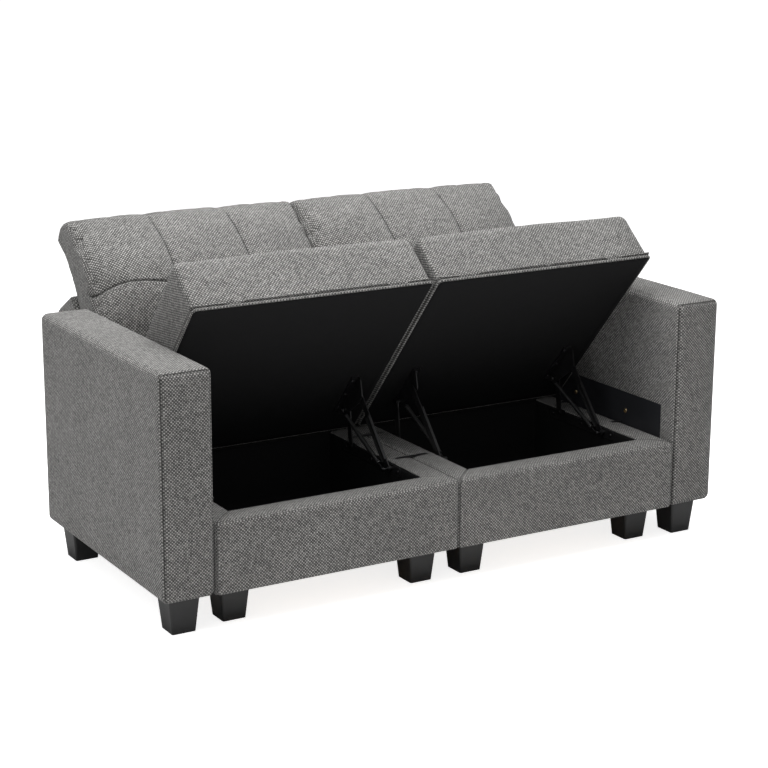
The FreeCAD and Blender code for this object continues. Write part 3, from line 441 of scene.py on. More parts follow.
def makeArm(side, name):
    look = armLook
    low, high = (list(v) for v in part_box(name + "_arm_cover"))
    panelLow, panelHigh = (list(v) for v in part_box(name + "_arm_panel"))
    r = look["edge"]
    step = 0.8 * mm
    extra = ((), (panelLow[1] - step, panelLow[1], panelHigh[1], panelHigh[1] + step),
             (panelHigh[2], panelHigh[2] + step))
    high[2] -= look["puff"]
    piece, way, fromSeam = softBox(name + "Arm", low, high, r, look["spacing"], weave, extra)
    points = vertexArray(piece)
    centre = (np.array(low) + np.array(high)) / 2
    half = (np.array(high) - np.array(low)) / 2
    place = (points - centre) / half
    flat = np.clip(1 - np.abs(place) ** 4, 0, 1)
    crown = np.zeros(len(points))
    for axis in range(3):
        u, v = (axis + 1) % 3, (axis + 2) % 3
        crown += np.clip((np.abs(way[:, axis]) - 0.9) * 10, 0, 1) * flat[:, u] * flat[:, v]
    # Only the front and rear panels are sewn in; the wrap runs over the top without a seam
    sewn = (np.abs(way[:, 1]) > 0.3) * np.exp(-(fromSeam / look["seamWidth"]) ** 2)
    waves = look["waves"] * crown * ripple(points, 9.0, 1 + side)
    moved = points + way * (look["puff"] * crown + waves)[:, None] - way * (look["seamDepth"] * sewn)[:, None]
    moved[:, 2] = np.maximum(moved[:, 2], low[2])
    # The inner face stays flat against the seat box, and is let in for the black panel
    innerX = panelLow[0] if side > 0 else panelHigh[0]
    backX = panelHigh[0] if side > 0 else panelLow[0]
    isInner = way[:, 0] * side < -0.9
    if side > 0:
        moved[isInner, 0] = np.maximum(moved[isInner, 0], innerX)
    else:
        moved[isInner, 0] = np.minimum(moved[isInner, 0], innerX)
    letIn = isInner & (points[:, 1] > panelLow[1] - 0.1 * mm) & (points[:, 1] < panelHigh[1] + 0.1 * mm)
    letIn &= points[:, 2] < panelHigh[2] + 0.1 * mm
    moved[letIn, 0] = backX + side * 0.3 * mm
    setVertices(piece, moved)
    # The sewn seams are painted dark as shade in their grooves
    writePaintedShade(piece, sewn * 0.8)
    layCloth(piece)
    finish(piece, "base", [name + "_arm_cover"], "upholstery")


rimLook = {
    "edge": 14 * mm,
    "innerEdge": 5 * mm,
    "corner": 9 * mm,
    "innerCorner": 3 * mm,
    "skirtTuck": 16 * mm,       # how far the cloth turns under the box
    "dropInside": 6 * mm,
    "hem": 4 * mm,              # round lower edge
    "liningCloth": 1.5 * mm,
    "crown": 1.6 * mm,
    "waves": 0.9 * mm,
    "cloth": 1.2 * mm,
    "seamDepth": 2.0 * mm,
    "seamWidth": 2.0 * mm,
    "cornerSteps": 8,
    "sideSteps": 46,
}
seatMiddle = 0.35               # from the sofa's middle to the middle of a seat


def clusteredSteps(count):
    # From 0 to 1, close together near both ends
    return [0.5 - 0.5 * math.cos(math.pi * k / count) for k in range(count + 1)]


def roundedRectangle(x0, x1, y0, y1, radius):
    # Plan loop with the same number of points for any size; each corner's arc comes before its side
    look = rimLook
    corners = [(x0, y0, 180), (x1, y0, 270), (x1, y1, 0), (x0, y1, 90)]

    def spot(corner, turn):
        x, y, start = corners[corner % 4]
        angle = math.radians(start + turn)
        cx = x + radius if x == x0 else x - radius
        cy = y + radius if y == y0 else y - radius
        return cx + radius * math.cos(angle), cy + radius * math.sin(angle)

    loop = []
    for corner in range(4):
        loop += [spot(corner, 90 * k / look["cornerSteps"]) for k in range(look["cornerSteps"] + 1)]
        here, there = loop[-1], spot(corner + 1, 0)
        for t in clusteredSteps(look["sideSteps"])[1:-1]:
            loop.append((here[0] + (there[0] - here[0]) * t, here[1] + (there[1] - here[1]) * t))
    return loop


def makeSeatBox(side, name):
    look = rimLook
    low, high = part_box(name + "_box_cover")
    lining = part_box(name + "_box_lining")
    thickness = look["liningCloth"]
    inX0, inX1 = lining[0][0] + thickness, lining[1][0] - thickness
    inY0, inY1 = lining[0][1] + thickness, lining[1][1] - thickness
    x0, x1, y0, y1 = low[0], high[0], low[1], high[1]
    bottom, top = low[2], high[2] - look["crown"]
    r, ri, hem = look["edge"], look["innerEdge"], look["hem"]
    # Each row: inward offset in metres, share of the way to the opening's edge, height
    rows = [(look["skirtTuck"], 0.0, bottom + 0.2 * mm), (hem, 0.0, bottom)]
    for k in range(1, 4):
        a = math.radians(30 * k)
        rows.append((hem * (1 - math.sin(a)), 0.0, bottom + hem * (1 - math.cos(a))))
    for k in range(1, 13):
        rows.append((0.0, 0.0, bottom + hem + (top - r - bottom - hem) * k / 12))
    for k in range(1, 11):
        a = math.radians(9 * k)
        rows.append((r * (1 - math.cos(a)), 0.0, top - r + r * math.sin(a)))
    for k in range(1, 9):
        share = k / 8
        rows.append((r, share, top + look["crown"] * math.sin(math.pi * share)))
    for k in range(1, 7):
        a = math.radians(15 * k)
        rows.append((r, 1.0 + ri * math.sin(a), top - ri * (1 - math.cos(a))))
    rows.append((r, 1.0 + ri, top - look["dropInside"]))
    points = []
    for offset, share, z in rows:
        extra = max(share - 1.0, 0.0)
        s = min(share, 1.0)

        def inset(outer, opening):
            way = 1.0 if opening > outer else -1.0
            start = outer + way * offset
            end = opening - way * ri
            return start + (end - start) * s + way * extra if s > 0 else start

        radius = max(look["corner"] - offset * 0.4, 3 * mm) * (1 - s) + (look["innerCorner"] + ri - extra) * s
        loop = roundedRectangle(inset(x0, inX0), inset(x1, inX1), inset(y0, inY0), inset(y1, inY1), radius)
        points += [(p[0], p[1], z) for p in loop]
    count = len(loop)
    piece = meshPiece(name + "SeatBox", points, stripFaces(len(rows), count), weave)
    smoothAll(piece)
    points = np.array(points)
    # Mitre seams run down each corner and across the rim to the opening
    stretch = look["cornerSteps"] + look["sideSteps"]
    distance = np.full((len(rows), count), 1.0)
    grid = points.reshape(len(rows), count, 3)
    for corner in range(4):
        column = grid[:, corner * stretch + look["cornerSteps"] // 2, :]
        distance = np.minimum(distance, np.linalg.norm(grid - column[:, None, :], axis=2))
    sewn = np.exp(-(distance / look["seamWidth"]) ** 2).ravel()
    normals = vertexNormals(piece)
    moved = points - normals * (look["seamDepth"] * sewn)[:, None]
    easy = np.clip((points[:, 2] - bottom) * 20, 0, 1) * (normals[:, 2] < 0.5)
    moved += normals * (look["waves"] * easy * ripple(points, 8.0, 3 + side))[:, None]
    moved[:, 0] = np.clip(moved[:, 0], x0, x1)
    setVertices(piece, moved)
    # The top of the rear rail is painted near black as shade under the lifted lid, and the mitre seams are
    # painted dark as shade in their grooves
    railShade = (moved[:, 1] > inY1 - 4 * mm) & (moved[:, 2] > top - 2 * r) & (moved[:, 1] < y1 - 1 * mm)
    writePaintedShade(piece, np.maximum(sewn * 0.55, railShade * 0.97))
    layCloth(piece)
    addThickness(piece, "cloth", look["cloth"], -1)
    finish(piece, "base", [name + "_box_cover"], "upholstery")
    makeLining(side, name, (inX0, inX1, inY0, inY1))


liningLook = {"folds": 1.1 * mm, "thickness": 0.3 * mm}


def makeLining(side, name, opening):
    look = liningLook
    x0, x1, y0, y1 = opening
    low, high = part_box(name + "_box_lining")
    bottom = low[2] + 1.5 * mm
    top = high[2] + 0.5 * mm
    loop = roundedRectangle(x0, x1, y0, y1, 3 * mm)
    rows = [(loop, top - (top - bottom) * k / 16) for k in range(17)]
    points = [(p[0], p[1], z) for ring, z in rows for p in ring]
    count = len(loop)
    faces = [[a, d, c, b] for a, b, c, d in stripFaces(len(rows), count)]
    # Floor of the bag, as rings drawn in to the middle
    cx, cy = (x0 + x1) / 2, (y0 + y1) / 2
    rings = 14
    base = (len(rows) - 1) * count
    for ring in range(1, rings + 1):
        share = 1 - ring / (rings + 0.5)
        start = len(points)
        points += [(cx + (p[0] - cx) * share, cy + (p[1] - cy) * share, bottom) for p in loop]
        for i in range(count):
            k = (i + 1) % count
            faces.append([base + i, start + i, start + k, base + k])
        base = start
    faces.append([base + i for i in range(count)])
    piece = meshPiece(name + "Lining", points, faces, felt)
    smoothAll(piece)
    places = np.array(points)
    normals = vertexNormals(piece)
    inside = Vector((cx, cy, (bottom + top) / 2))
    toward = np.array(inside) - places
    flip = np.sign(np.sum(toward * normals, axis=1))
    folds = (0.5 + 0.5 * ripple(places * np.array([1, 1, 0.25]), 22.0, 5 + side)) * look["folds"]
    fade = np.clip((top - places[:, 2]) * 60, 0, 1)
    setVertices(piece, places - normals * (flip * folds * fade)[:, None])
    addThickness(piece, "thickness", look["thickness"], 0)
    finish(piece, "base", [name + "_box_lining"], "black_cloth")


backLook = {
    "edge": 13 * mm,
    "seamDepth": 2.2 * mm,
    "seamWidth": 2.0 * mm,
    "lean": math.radians(29.5),
    "ledgeDepth": 50 * mm,
    "ledgeHeight": 452 * mm,
    "frontReach": 266.4 * mm,
    "topWidth": 140 * mm,
    "footDepth": 162 * mm,
    "topRound": 30 * mm,
    "rounds": (4 * mm, 16 * mm, 6 * mm, 6 * mm),   # front foot, ledge's front and rear, rear foot
    "waves": 0.8 * mm,
    "spacing": 18 * mm,
}


def backOutline():
    # Side outline of the back frame as dense (y, z) points, with round corners
    look = backLook
    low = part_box("left_back_cover")[0]
    foot = low[1]
    lean = look["lean"]
    ledge = foot + look["ledgeDepth"]
    reach = look["frontReach"]
    topFront = (ledge + reach * math.sin(lean), look["ledgeHeight"] + reach * math.cos(lean))
    topRear = (topFront[0] + look["topWidth"] * math.cos(lean), topFront[1] - look["topWidth"] * math.sin(lean))
    rounds = look["rounds"]
    corners = [(foot, low[2], rounds[0]), (foot, look["ledgeHeight"], rounds[1]),
               (ledge, look["ledgeHeight"], rounds[2]), (*topFront, look["topRound"]),
               (*topRear, look["topRound"]), (foot + look["footDepth"], low[2], rounds[3])]
    outline = []
    for index, (y, z, radius) in enumerate(corners):
        before, after = corners[index - 1], corners[(index + 1) % len(corners)]
        a = Vector((before[0] - y, before[1] - z))
        b = Vector((after[0] - y, after[1] - z))
        a.normalize()
        b.normalize()
        half = 0.5 * math.acos(max(-1, min(1, a.dot(b))))
        run = radius / math.tan(half)
        here = Vector((y, z))
        centre = here + (a + b).normalized() * (radius / math.sin(half))
        start, end = here + a * run, here + b * run
        for k in range(9):
            p = (start.lerp(end, k / 8) - centre).normalized() * radius + centre
            outline.append((p.x, p.y))
        nextRadius = after[2]
        before2, after2 = here, corners[(index + 2) % len(corners)]
        c = Vector((after2[0] - after[0], after2[1] - after[1])).normalized()
        halfNext = 0.5 * math.acos(max(-1, min(1, (-b).dot(c))))
        stop = Vector((after[0], after[1])) - b * (nextRadius / math.tan(halfNext))
        length = (stop - end).length
        steps = max(1, int(length / look["spacing"]))
        for k in range(1, steps):
            p = end.lerp(stop, k / steps)
            outline.append((p.x, p.y))
    return outline


def makeBackFrame(side, name):
    look = backLook
    low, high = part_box(name + "_back_cover")
    outline = np.array(backOutline())
    count = len(outline)
    tangent = np.roll(outline, -1, axis=0) - np.roll(outline, 1, axis=0)
    tangent /= np.linalg.norm(tangent, axis=1, keepdims=True)
    inward = np.stack([tangent[:, 1], -tangent[:, 0]], axis=1)
    middle = outline.mean(axis=0)
    if np.sum((middle - outline) * inward) < 0:
        inward = -inward
    r = look["edge"]
    turns = [math.radians(11.25 * k) for k in range(9)]
    stations = [(low[0] + r * (1 - math.sin(a)), r * (1 - math.cos(a))) for a in reversed(turns)]
    inner = int((high[0] - low[0] - 2 * r) / look["spacing"])
    stations += [(low[0] + r + (high[0] - low[0] - 2 * r) * k / inner, 0.0) for k in range(1, inner)]
    stations += [(high[0] - r * (1 - math.sin(a)), r * (1 - math.cos(a))) for a in turns]
    points, seams = [], []
    for x, inset in stations:
        ring = outline + inward * inset
        points += [(x, p[0], p[1]) for p in ring]
        angle = math.acos(max(-1, min(1, 1 - inset / r)))
        near = math.exp(-((angle - math.pi / 4) * r / look["seamWidth"]) ** 2) if 0 < inset < r else 0.0
        seams += [near] * count
    faces = stripFaces(len(stations), count)
    for base, x in ((0, low[0]), ((len(stations) - 1) * count, high[0])):
        ringStart = base
        for ring in range(1, 7):
            share = 1 - ring / 6.5
            start = len(points)
            shape = middle + (outline + inward * r - middle) * share
            points += [(x, p[0], p[1]) for p in shape]
            seams += [0.0] * count
            for i in range(count):
                k = (i + 1) % count
                faces.append([ringStart + i, ringStart + k, start + k, start + i])
            ringStart = start
        faces.append([ringStart + i for i in range(count)])
    piece = meshPiece(name + "BackFrame", points, faces, weave)
    outwards(piece)
    smoothAll(piece)
    places = vertexArray(piece)
    normals = vertexNormals(piece)
    seams = np.array(seams)
    easy = np.clip((places[:, 2] - low[2]) * 15, 0, 1)
    waves = look["waves"] * easy * ripple(places, 7.0, 8 + side)
    moved = places + normals * (waves - look["seamDepth"] * seams)[:, None]
    moved[:, 0] = np.clip(moved[:, 0], low[0], high[0])
    moved[:, 1] = np.maximum(moved[:, 1], low[1])
    setVertices(piece, moved)
    # The seams are painted dark as shade in their grooves
    writePaintedShade(piece, seams * 0.7)
    layCloth(piece)
    finish(piece, "base", [name + "_back_cover"], "upholstery")


for name, side in sides.items():
    makeArm(side, name)
    makeSeatBox(side, name)
    makeBackFrame(side, name)
print("arms, boxes and back frames covered")


def clothSwell(piece, voxel, pressure, cap, frames=20):
    # Blow the closed form up a little as cloth, and keep every point within the cap
    bpy.context.view_layer.objects.active = piece
    remesh = piece.modifiers.new("voxels", "REMESH")
    remesh.mode = "VOXEL"
    remesh.voxel_size = voxel
    remesh.use_smooth_shade = True
    applyModifiers(piece)
    start = vertexArray(piece)
    cloth = piece.modifiers.new("swell", "CLOTH")
    cloth.settings.quality = 5
    cloth.settings.mass = 0.4
    cloth.settings.tension_stiffness = 20
    cloth.settings.compression_stiffness = 20
    cloth.settings.bending_stiffness = 1.5
    cloth.settings.use_pressure = True
    cloth.settings.uniform_pressure_force = pressure
    cloth.settings.effector_weights.gravity = 0
    cloth.collision_settings.use_collision = False
    cloth.point_cache.frame_start = 1
    cloth.point_cache.frame_end = frames
    for step in range(1, frames + 1):
        bpy.context.scene.frame_set(step)
    applyModifiers(piece)
    bpy.context.scene.frame_set(1)
    moved = vertexArray(piece) - start
    length = np.linalg.norm(moved, axis=1, keepdims=True)
    setVertices(piece, start + moved * np.minimum(1.0, cap / np.maximum(length, 1e-9)))


def applyModifiers(piece):
    graph = bpy.context.evaluated_depsgraph_get()
    mesh = bpy.data.meshes.new_from_object(piece.evaluated_get(graph))
    piece.modifiers.clear()
    old = piece.data
    piece.data = mesh
    bpy.data.meshes.remove(old)


def subdivideOnce(piece):
    piece.modifiers.new("smooth", "SUBSURF").levels = 1
    applyModifiers(piece)
    smoothAll(piece)


def valley(distance, width, depth):
    return depth * np.exp(-(distance / width) ** 2)


cushionLook = {
    "lean": math.radians(29.5),
    "voxel": 6.5 * mm,
    "pressure": 4.0,
    "cap": 9 * mm,
    "shrink": 2.5 * mm,          # room left for the swelling
    "columns": 3,
    "levelSeam": 744 * mm,       # height of the sewn line at the middle of a pillow
    "levelDrop": (17 * mm, 44 * mm),   # how far it falls to the next pillow, and to the cushion's end
    "valleyWidth": 24 * mm,
    "valleyDepth": 5.5 * mm,
    "creaseWidth": 2.6 * mm,
    "creaseDepth": 3.6 * mm,
    "pucker": 1.6 * mm,
    # Side outline through the crown and along the side seam: low, seam, crest and rear, from the arm fronts
    "crown": ((713, 466), (691, 742), (910, 888), (1003, 818)),
    "edge": ((741, 474), (740, 706), (919, 878), (997, 810)),
    "endInset": 4,
    "bows": (37, 20, 14, -12, 5),
    # The back frame's ledge corner, and where the cushion starts and ends along its lean, all in mm
    "ledge": (750, 452),
    "lying": (22, 233),
    "backGap": 2.2,
    "topEnd": 0.985,             # nothing is tufted behind this place, from the arm fronts
    "frontEnd": 0.93,
    "crestEase": (0.83, 0.05, 0.55),   # where the seams grow shallow, over how far, and by what share
    "puckerReach": 26 * mm,
    "seamReach": 30 * mm,
    "softness": 1.6 * mm,
    "plump": 1.5 * mm,
}


def arcPoints(a, b, bow, count):
    # Points on a flat arc from a to b that stands out to the left by bow, without the last
    a, b = np.array(a, float), np.array(b, float)
    chord = b - a
    side = np.array([-chord[1], chord[0]]) / np.linalg.norm(chord)
    steps = np.arange(count) / count
    return [a + chord * t + side * (4 * bow * t * (1 - t)) for t in steps]


def cushionOutline(share, inset):
    # One side outline, from the low front corner up over the crest and down the leaning back
    look = cushionLook
    low, seam, crest, rear = (np.array(e, float) * (1 - share) + np.array(c, float) * share
                              for e, c in zip(look["edge"], look["crown"]))
    shrink = look["shrink"] / mm
    low = low + np.array([0.55 * inset + shrink, inset + 2])
    seam = seam + np.array([inset + shrink, 0.3 * inset])
    crest = crest + np.array([0.2 * inset, -inset - shrink])
    rear = rear + np.array([-inset - shrink, -0.3 * inset])
    s, c = math.sin(look["lean"]), math.cos(look["lean"])
    ledge, gap, bows = np.array(look["ledge"]), look["backGap"], look["bows"]
    lowBack, highBack = (ledge + [run * s - c * gap, run * c + s * gap] for run in look["lying"])
    outline = arcPoints(low, seam, bows[0], 14) + arcPoints(seam, crest, bows[1], 14)
    outline += arcPoints(crest, rear, bows[2], 8) + arcPoints(rear, highBack, bows[3], 8)
    outline += arcPoints(highBack, lowBack, 0, 10) + arcPoints(lowBack, low, bows[4], 4)
    return np.array(outline) * mm


def makeBackCushion():
    # The right cushion, swollen as cloth and then sewn down along its seams
    look = cushionLook
    low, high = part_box("right_back_cushion")
    centre = (low[0] + high[0]) / 2
    half = (high[0] - low[0]) / 2 - 0.5 * mm
    ends = [(1.0, 1.0), (0.993, 0.4), (0.982, 0.12), (0.965, 0.0)]
    middle = [(0.91 - 0.91 * k / 14, 0.0) for k in range(15)]
    stations = [(-x, i) for x, i in ends + middle] + [(x, i) for x, i in reversed(ends + middle[:-1])]
    points = []
    for place, inset in stations:
        outline = cushionOutline(1 - abs(place) ** 4, inset * look["endInset"])
        points += [(centre + place * half, frontY + p[0], p[1]) for p in outline]
    count = len(outline)
    faces = stripFaces(len(stations), count)
    faces.append(list(range(count)))
    faces.append([(len(stations) - 1) * count + i for i in reversed(range(count))])
    piece = meshPiece("rightBackCushion", points, faces, weave)
    outwards(piece)
    clothSwell(piece, look["voxel"], look["pressure"], look["cap"])
    subdivideOnce(piece)
    points = vertexArray(piece)
    normals = vertexNormals(piece)
    across = points[:, 0] - centre
    pillow = (high[0] - low[0]) / look["columns"]
    upright = np.abs(np.abs(across) - pillow / 2)
    # Only the front and the top are tufted
    shown = np.clip((-normals[:, 1] * 0.8 + normals[:, 2] * 0.75) * 2.2 + 0.25, 0, 1)
    depth = points[:, 1] - frontY
    crest, fade, share = look["crestEase"]
    shown *= (depth < look["topEnd"]) * (1 - share * np.clip((depth - crest) / fade, 0, 1))
    # The level seam hangs in an arc between the upright ones and droops to the cushion's end
    inPillow = (across / pillow + 0.5) % 1 - 0.5
    droop = np.where(np.abs(across) > pillow, look["levelDrop"][1], look["levelDrop"][0])
    level = np.abs(points[:, 2] - look["levelSeam"] + droop * (2 * inPillow) ** 2)
    frontOnly = shown * np.clip((look["frontEnd"] - depth) * 20, 0, 1)
    wave = 1 + 0.25 * ripple(points, 14.0, 4)
    drop = valley(upright, look["valleyWidth"], look["valleyDepth"]) * shown * wave
    drop += valley(level, look["valleyWidth"], look["valleyDepth"] * 0.85) * frontOnly * wave
    crease = np.maximum(valley(upright, look["creaseWidth"], 1.0) * shown,
                        valley(level, look["creaseWidth"], 1.0) * frontOnly)
    # Small puckers run out from the seams
    near = np.exp(-upright / look["seamReach"]) * shown + np.exp(-level / look["seamReach"]) * frontOnly
    stretchU = points * np.array([0.35, 1.0, 1.0])
    stretchV = points * np.array([1.0, 0.4, 0.4])
    pucker = ripple(stretchU, 75.0, 2) * np.exp(-upright / look["puckerReach"]) * shown
    pucker += ripple(stretchV, 75.0, 6) * np.exp(-level / look["puckerReach"]) * frontOnly
    soft = look["softness"] * ripple(points, 11.0, 9)
    rise = -drop - crease * look["creaseDepth"] + pucker * look["pucker"] + soft * shown
    rise += look["plump"] * np.clip(1 - near, 0, 1) * shown
    points = points + normals * rise[:, None]
    points[:, 0] = np.clip(points[:, 0], low[0] - 0.5 * mm, high[0] + 0.5 * mm)
    setVertices(piece, points)
    # The tufting creases are painted dark as shade in their grooves
    writePaintedShade(piece, crease * 0.75)
    return piece


def mirrorPiece(piece, name):
    # The same piece for the other half, with its faces turned back outwards
    mesh = piece.data.copy()
    mesh.name = name
    twin = bpy.data.objects.new(name, mesh)
    bpy.context.scene.collection.objects.link(twin)
    points = vertexArray(twin)
    points[:, 0] *= -1
    setVertices(twin, points)
    mesh.flip_normals()
    return twin


def layClothOver(piece, outline):
    # Flat map for a form that bends round X: along X, and along the outline
    steps = np.linalg.norm(np.roll(outline, -1, axis=0) - outline, axis=1)
    run = np.concatenate([[0], np.cumsum(steps)])[:-1]
    tree = KDTree(len(outline))
    for index, p in enumerate(outline):
        tree.insert((0, p[0], p[1]), index)
    tree.balance()
    points = vertexArray(piece)
    along = np.empty(len(points))
    for index, p in enumerate(points):
        spot, nearest, gap = tree.find((0, p[1], p[2]))
        after = outline[(nearest + 1) % len(outline)]
        way = after - outline[nearest]
        past = np.array([p[1], p[2]]) - outline[nearest]
        along[index] = run[nearest] + np.dot(past, way) / np.linalg.norm(way)
    corners, ways = cornerData(piece)
    isSide = np.abs(ways[:, 0]) > 0.75
    here = points[corners]
    u = np.where(isSide, here[:, 1], here[:, 0])
    writeMap(piece, u, np.where(isSide, here[:, 2], along[corners]))


rightCushion = makeBackCushion()
leftCushion = mirrorPiece(rightCushion, "leftBackCushion")
for name, piece in (("left", leftCushion), ("right", rightCushion)):
    outline = cushionOutline(0.8, 0.0) + np.array([frontY, 0.0])
    layClothOver(piece, outline)
    finish(piece, "base", [name + "_back_cushion"], "upholstery", 0.75)
print("back cushions sewn")


# The seat lids are made flat and then tilted about their front edge
tiltRange, liftRange = (jointNamed(name)["range_deg"] for name in ("left_lid_tilt", "left_seat_lift"))
lidTilt = math.radians(tiltRange[1] + liftRange[0])
lidLook = {
    "sideGap": 5 * mm,
    "length": 644 * mm,
    "height": 152 * mm,
    "frontLift": 7 * mm,        # the foam is this much fuller at the front
    "base": 7.3 * mm,
    "margin": 8.5 * mm,         # from the lid's edge to its under-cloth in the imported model
    "clothMargin": 5.8 * mm,    # the same as it shows, tucked under the welt
    "edge": 17 * mm,
    "square": 0.8,              # how far the upright corners are drawn out to a sharp edge
    "crown": 12 * mm,
    "spacing": 16 * mm,
    "voxel": 9 * mm,
    "pressure": 4.0,
    "cap": 6 * mm,
    "shrink": 1.0 * mm,
    "seamDepth": 1.8 * mm,
    "seamAngle": 40,            # from the side, in degrees: where the side panel is sewn on
    "seamSpread": 9,
    "softness": 1.5 * mm,
    "tight": 8 * mm,            # height of the strip drawn to the board, and where it ends
    "boardEdge": 0.6 * mm,
    "swell": 3 * mm,
}
clothLow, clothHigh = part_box("right_lid_undercloth")
lidOrigin = np.array([
    (clothLow[0] + clothHigh[0]) / 2,
    clothLow[1] - lidLook["margin"] * math.cos(lidTilt),
    clothHigh[2] + lidLook["margin"] * math.sin(lidTilt) - 1.0 * mm * math.cos(lidTilt),
])
lidHalf = lidOrigin[0] - lidLook["sideGap"]


def tilted(points):
    # From the lid's own frame to its lifted place
    c, s = math.cos(lidTilt), math.sin(lidTilt)
    across, along, up = np.asarray(points, dtype=float).T
    return np.stack([across, along * c + up * s, up * c - along * s], axis=1) + lidOrigin


def makeLidCushion():
    look = lidLook
    s = look["shrink"]
    # The round lower edge lies under the base and is cut flat, so the walls run down square to the welt
    low = (-lidHalf + s, s, look["base"] - look["edge"])
    high = (lidHalf - s, look["length"] - s, look["height"] - s)
    piece, way, fromSeam = softBox("rightSeatCushion", low, high, look["edge"], look["spacing"], weave)
    points = vertexArray(piece)
    planar = np.hypot(way[:, 0], way[:, 1])
    most = np.maximum(np.maximum(np.abs(way[:, 0]), np.abs(way[:, 1])), 1e-9)
    stretch = look["square"] * (planar / most - 1) * (planar > 1e-6)
    points[:, :2] += way[:, :2] * (look["edge"] * stretch)[:, None]
    u = points[:, 0] / lidHalf
    v = points[:, 1] / look["length"] * 2 - 1
    rise = np.clip(1 - u ** 2, 0, 1) ** 0.7 * (0.75 + 0.25 * np.clip(1 - np.abs(v) ** 3, 0, 1))
    share = np.clip((points[:, 2] - look["base"]) / (look["height"] - look["base"]), 0, 1)
    points[:, 2] += (look["crown"] * rise + look["frontLift"] * np.clip(0.5 - v / 2, 0, 1)) * share ** 2
    points[:, 2] = np.maximum(points[:, 2], look["base"])
    setVertices(piece, points)
    clothSwell(piece, look["voxel"], look["pressure"], look["cap"])
    points = vertexArray(piece)
    points[:, 2] = np.maximum(points[:, 2], look["base"])
    setVertices(piece, points)
    subdivideOnce(piece)
    points = vertexArray(piece)
    normals = vertexNormals(piece)
    # Side panels are sewn to the long wrap a little inside the edge
    normalX = np.abs(normals[:, 0])
    sideways = np.clip((np.abs(points[:, 0]) - (lidHalf - 0.06)) * 40, 0, 1)
    facing = np.degrees(np.arccos(np.clip(normalX, 0, 1)))
    raised = points[:, 2] > look["base"] + 6 * mm
    sewn = np.exp(-((facing - look["seamAngle"]) / look["seamSpread"]) ** 2) * sideways * raised
    soft = look["softness"] * (ripple(points, 9.0, 12) + 0.4 * ripple(points, 30.0, 13))
    above = np.clip((points[:, 2] - look["base"] - 4 * mm) / (12 * mm), 0, 1)
    moved = points + normals * ((soft + 0.5 * mm) * above - look["seamDepth"] * sewn)[:, None]
    moved[:, 2] = np.maximum(moved[:, 2], look["base"])
    # The lowest strip is drawn tight to the board's edge
    low = moved[:, 2] < look["base"] + look["tight"]
    reach, edge = look["tight"] * 1.2, look["boardEdge"]
    wide = low & (np.abs(moved[:, 0]) > lidHalf - reach)
    moved[wide, 0] = np.sign(moved[wide, 0]) * np.maximum(np.abs(moved[wide, 0]), lidHalf - edge)
    ahead = low & (moved[:, 1] < reach)
    moved[ahead, 1] = np.minimum(moved[ahead, 1], edge)
    behind = low & (moved[:, 1] > look["length"] - reach)
    moved[behind, 1] = np.maximum(moved[behind, 1], look["length"] - edge)
    moved[:, 0] = np.clip(moved[:, 0], -lidHalf - look["swell"], lidHalf + look["swell"])
    setVertices(piece, moved)
    # Painted shade: the side seams, and the lowest 3 mm of the cushion next to the board, are darkened in the
    # cloth's colour
    boardShade = np.clip(1 - (moved[:, 2] - look["base"]) / (3 * mm), 0, 1)
    writePaintedShade(piece, np.maximum(sewn * 0.45, boardShade * 0.6))
    layCloth(piece)
    setVertices(piece, tilted(moved))
    return piece


# A node tree that bends a round cord along a rectangle with round corners

def groupInput(tree, name, kind, value):
    socket = tree.interface.new_socket(name=name, in_out="INPUT", socket_type=kind)
    if value is not None:
        socket.default_value = value
    return socket.identifier


def startTree(name, sockets):
    # A tree with a geometry input and output, more inputs, and where those come out
    tree = bpy.data.node_groups.new(name, "GeometryNodeTree")
    for way in ("INPUT", "OUTPUT"):
        tree.interface.new_socket(name="Geometry", in_out=way, socket_type="NodeSocketGeometry")
    ids = {key: groupInput(tree, key, "NodeSocket" + kind, value) for key, kind, value in sockets}
    return tree, ids, tree.nodes.new("NodeGroupInput").outputs


def endTree(tree, geometry, finish):
    real = addNode(tree, "GeometryNodeRealizeInstances", {0: geometry})
    paint = addNode(tree, "GeometryNodeSetMaterial", {"Geometry": real.outputs[0], "Material": finish})
    addNode(tree, "NodeGroupOutput", {0: paint.outputs[0]})


def cordAlong(tree, curve, sides, radius, caps):
    ring = addNode(tree, "GeometryNodeCurvePrimitiveCircle", {"Resolution": sides, "Radius": radius})
    inputs = {"Curve": curve, "Profile Curve": ring.outputs["Curve"], "Fill Caps": caps}
    return addNode(tree, "GeometryNodeCurveToMesh", inputs).outputs[0]


def weltTree():
    tree, ids, given = startTree("weltTree", (
        ("Width", "Float", 0.7), ("Length", "Float", 0.6), ("Corner", "Float", 0.01), ("Cord", "Float", 0.004),
        ("Cloth", "Material", None)))
    inputs = {"Width": given["Width"], "Height": given["Length"]}
    loop = addNode(tree, "GeometryNodeCurvePrimitiveQuadrilateral", inputs)
    dense = tree.nodes.new("GeometryNodeFilletCurve")
    dense.mode = "POLY"
    dense.inputs["Count"].default_value = 8
    tree.links.new(loop.outputs[0], dense.inputs["Curve"])
    tree.links.new(given["Corner"], dense.inputs["Radius"])
    even = tree.nodes.new("GeometryNodeResampleCurve")
    even.mode = "LENGTH"
    even.inputs["Length"].default_value = 6 * mm
    tree.links.new(dense.outputs[0], even.inputs["Curve"])
    endTree(tree, cordAlong(tree, even.outputs[0], 12, given["Cord"], False), given["Cloth"])
    return tree, ids


def runTree(name, base, tree, ids, values):
    # Put a tree on an object, bake what it makes into a plain mesh, and drop the modifier
    modifier = base.modifiers.new(name, "NODES")
    modifier.node_group = tree
    for key, value in values.items():
        modifier[ids[key]] = value
    graph = bpy.context.evaluated_depsgraph_get()
    mesh = bpy.data.meshes.new_from_object(base.evaluated_get(graph))
    mesh.name = name
    bpy.data.objects.remove(base)
    piece = bpy.data.objects.new(name, mesh)
    bpy.context.scene.collection.objects.link(piece)
    return piece


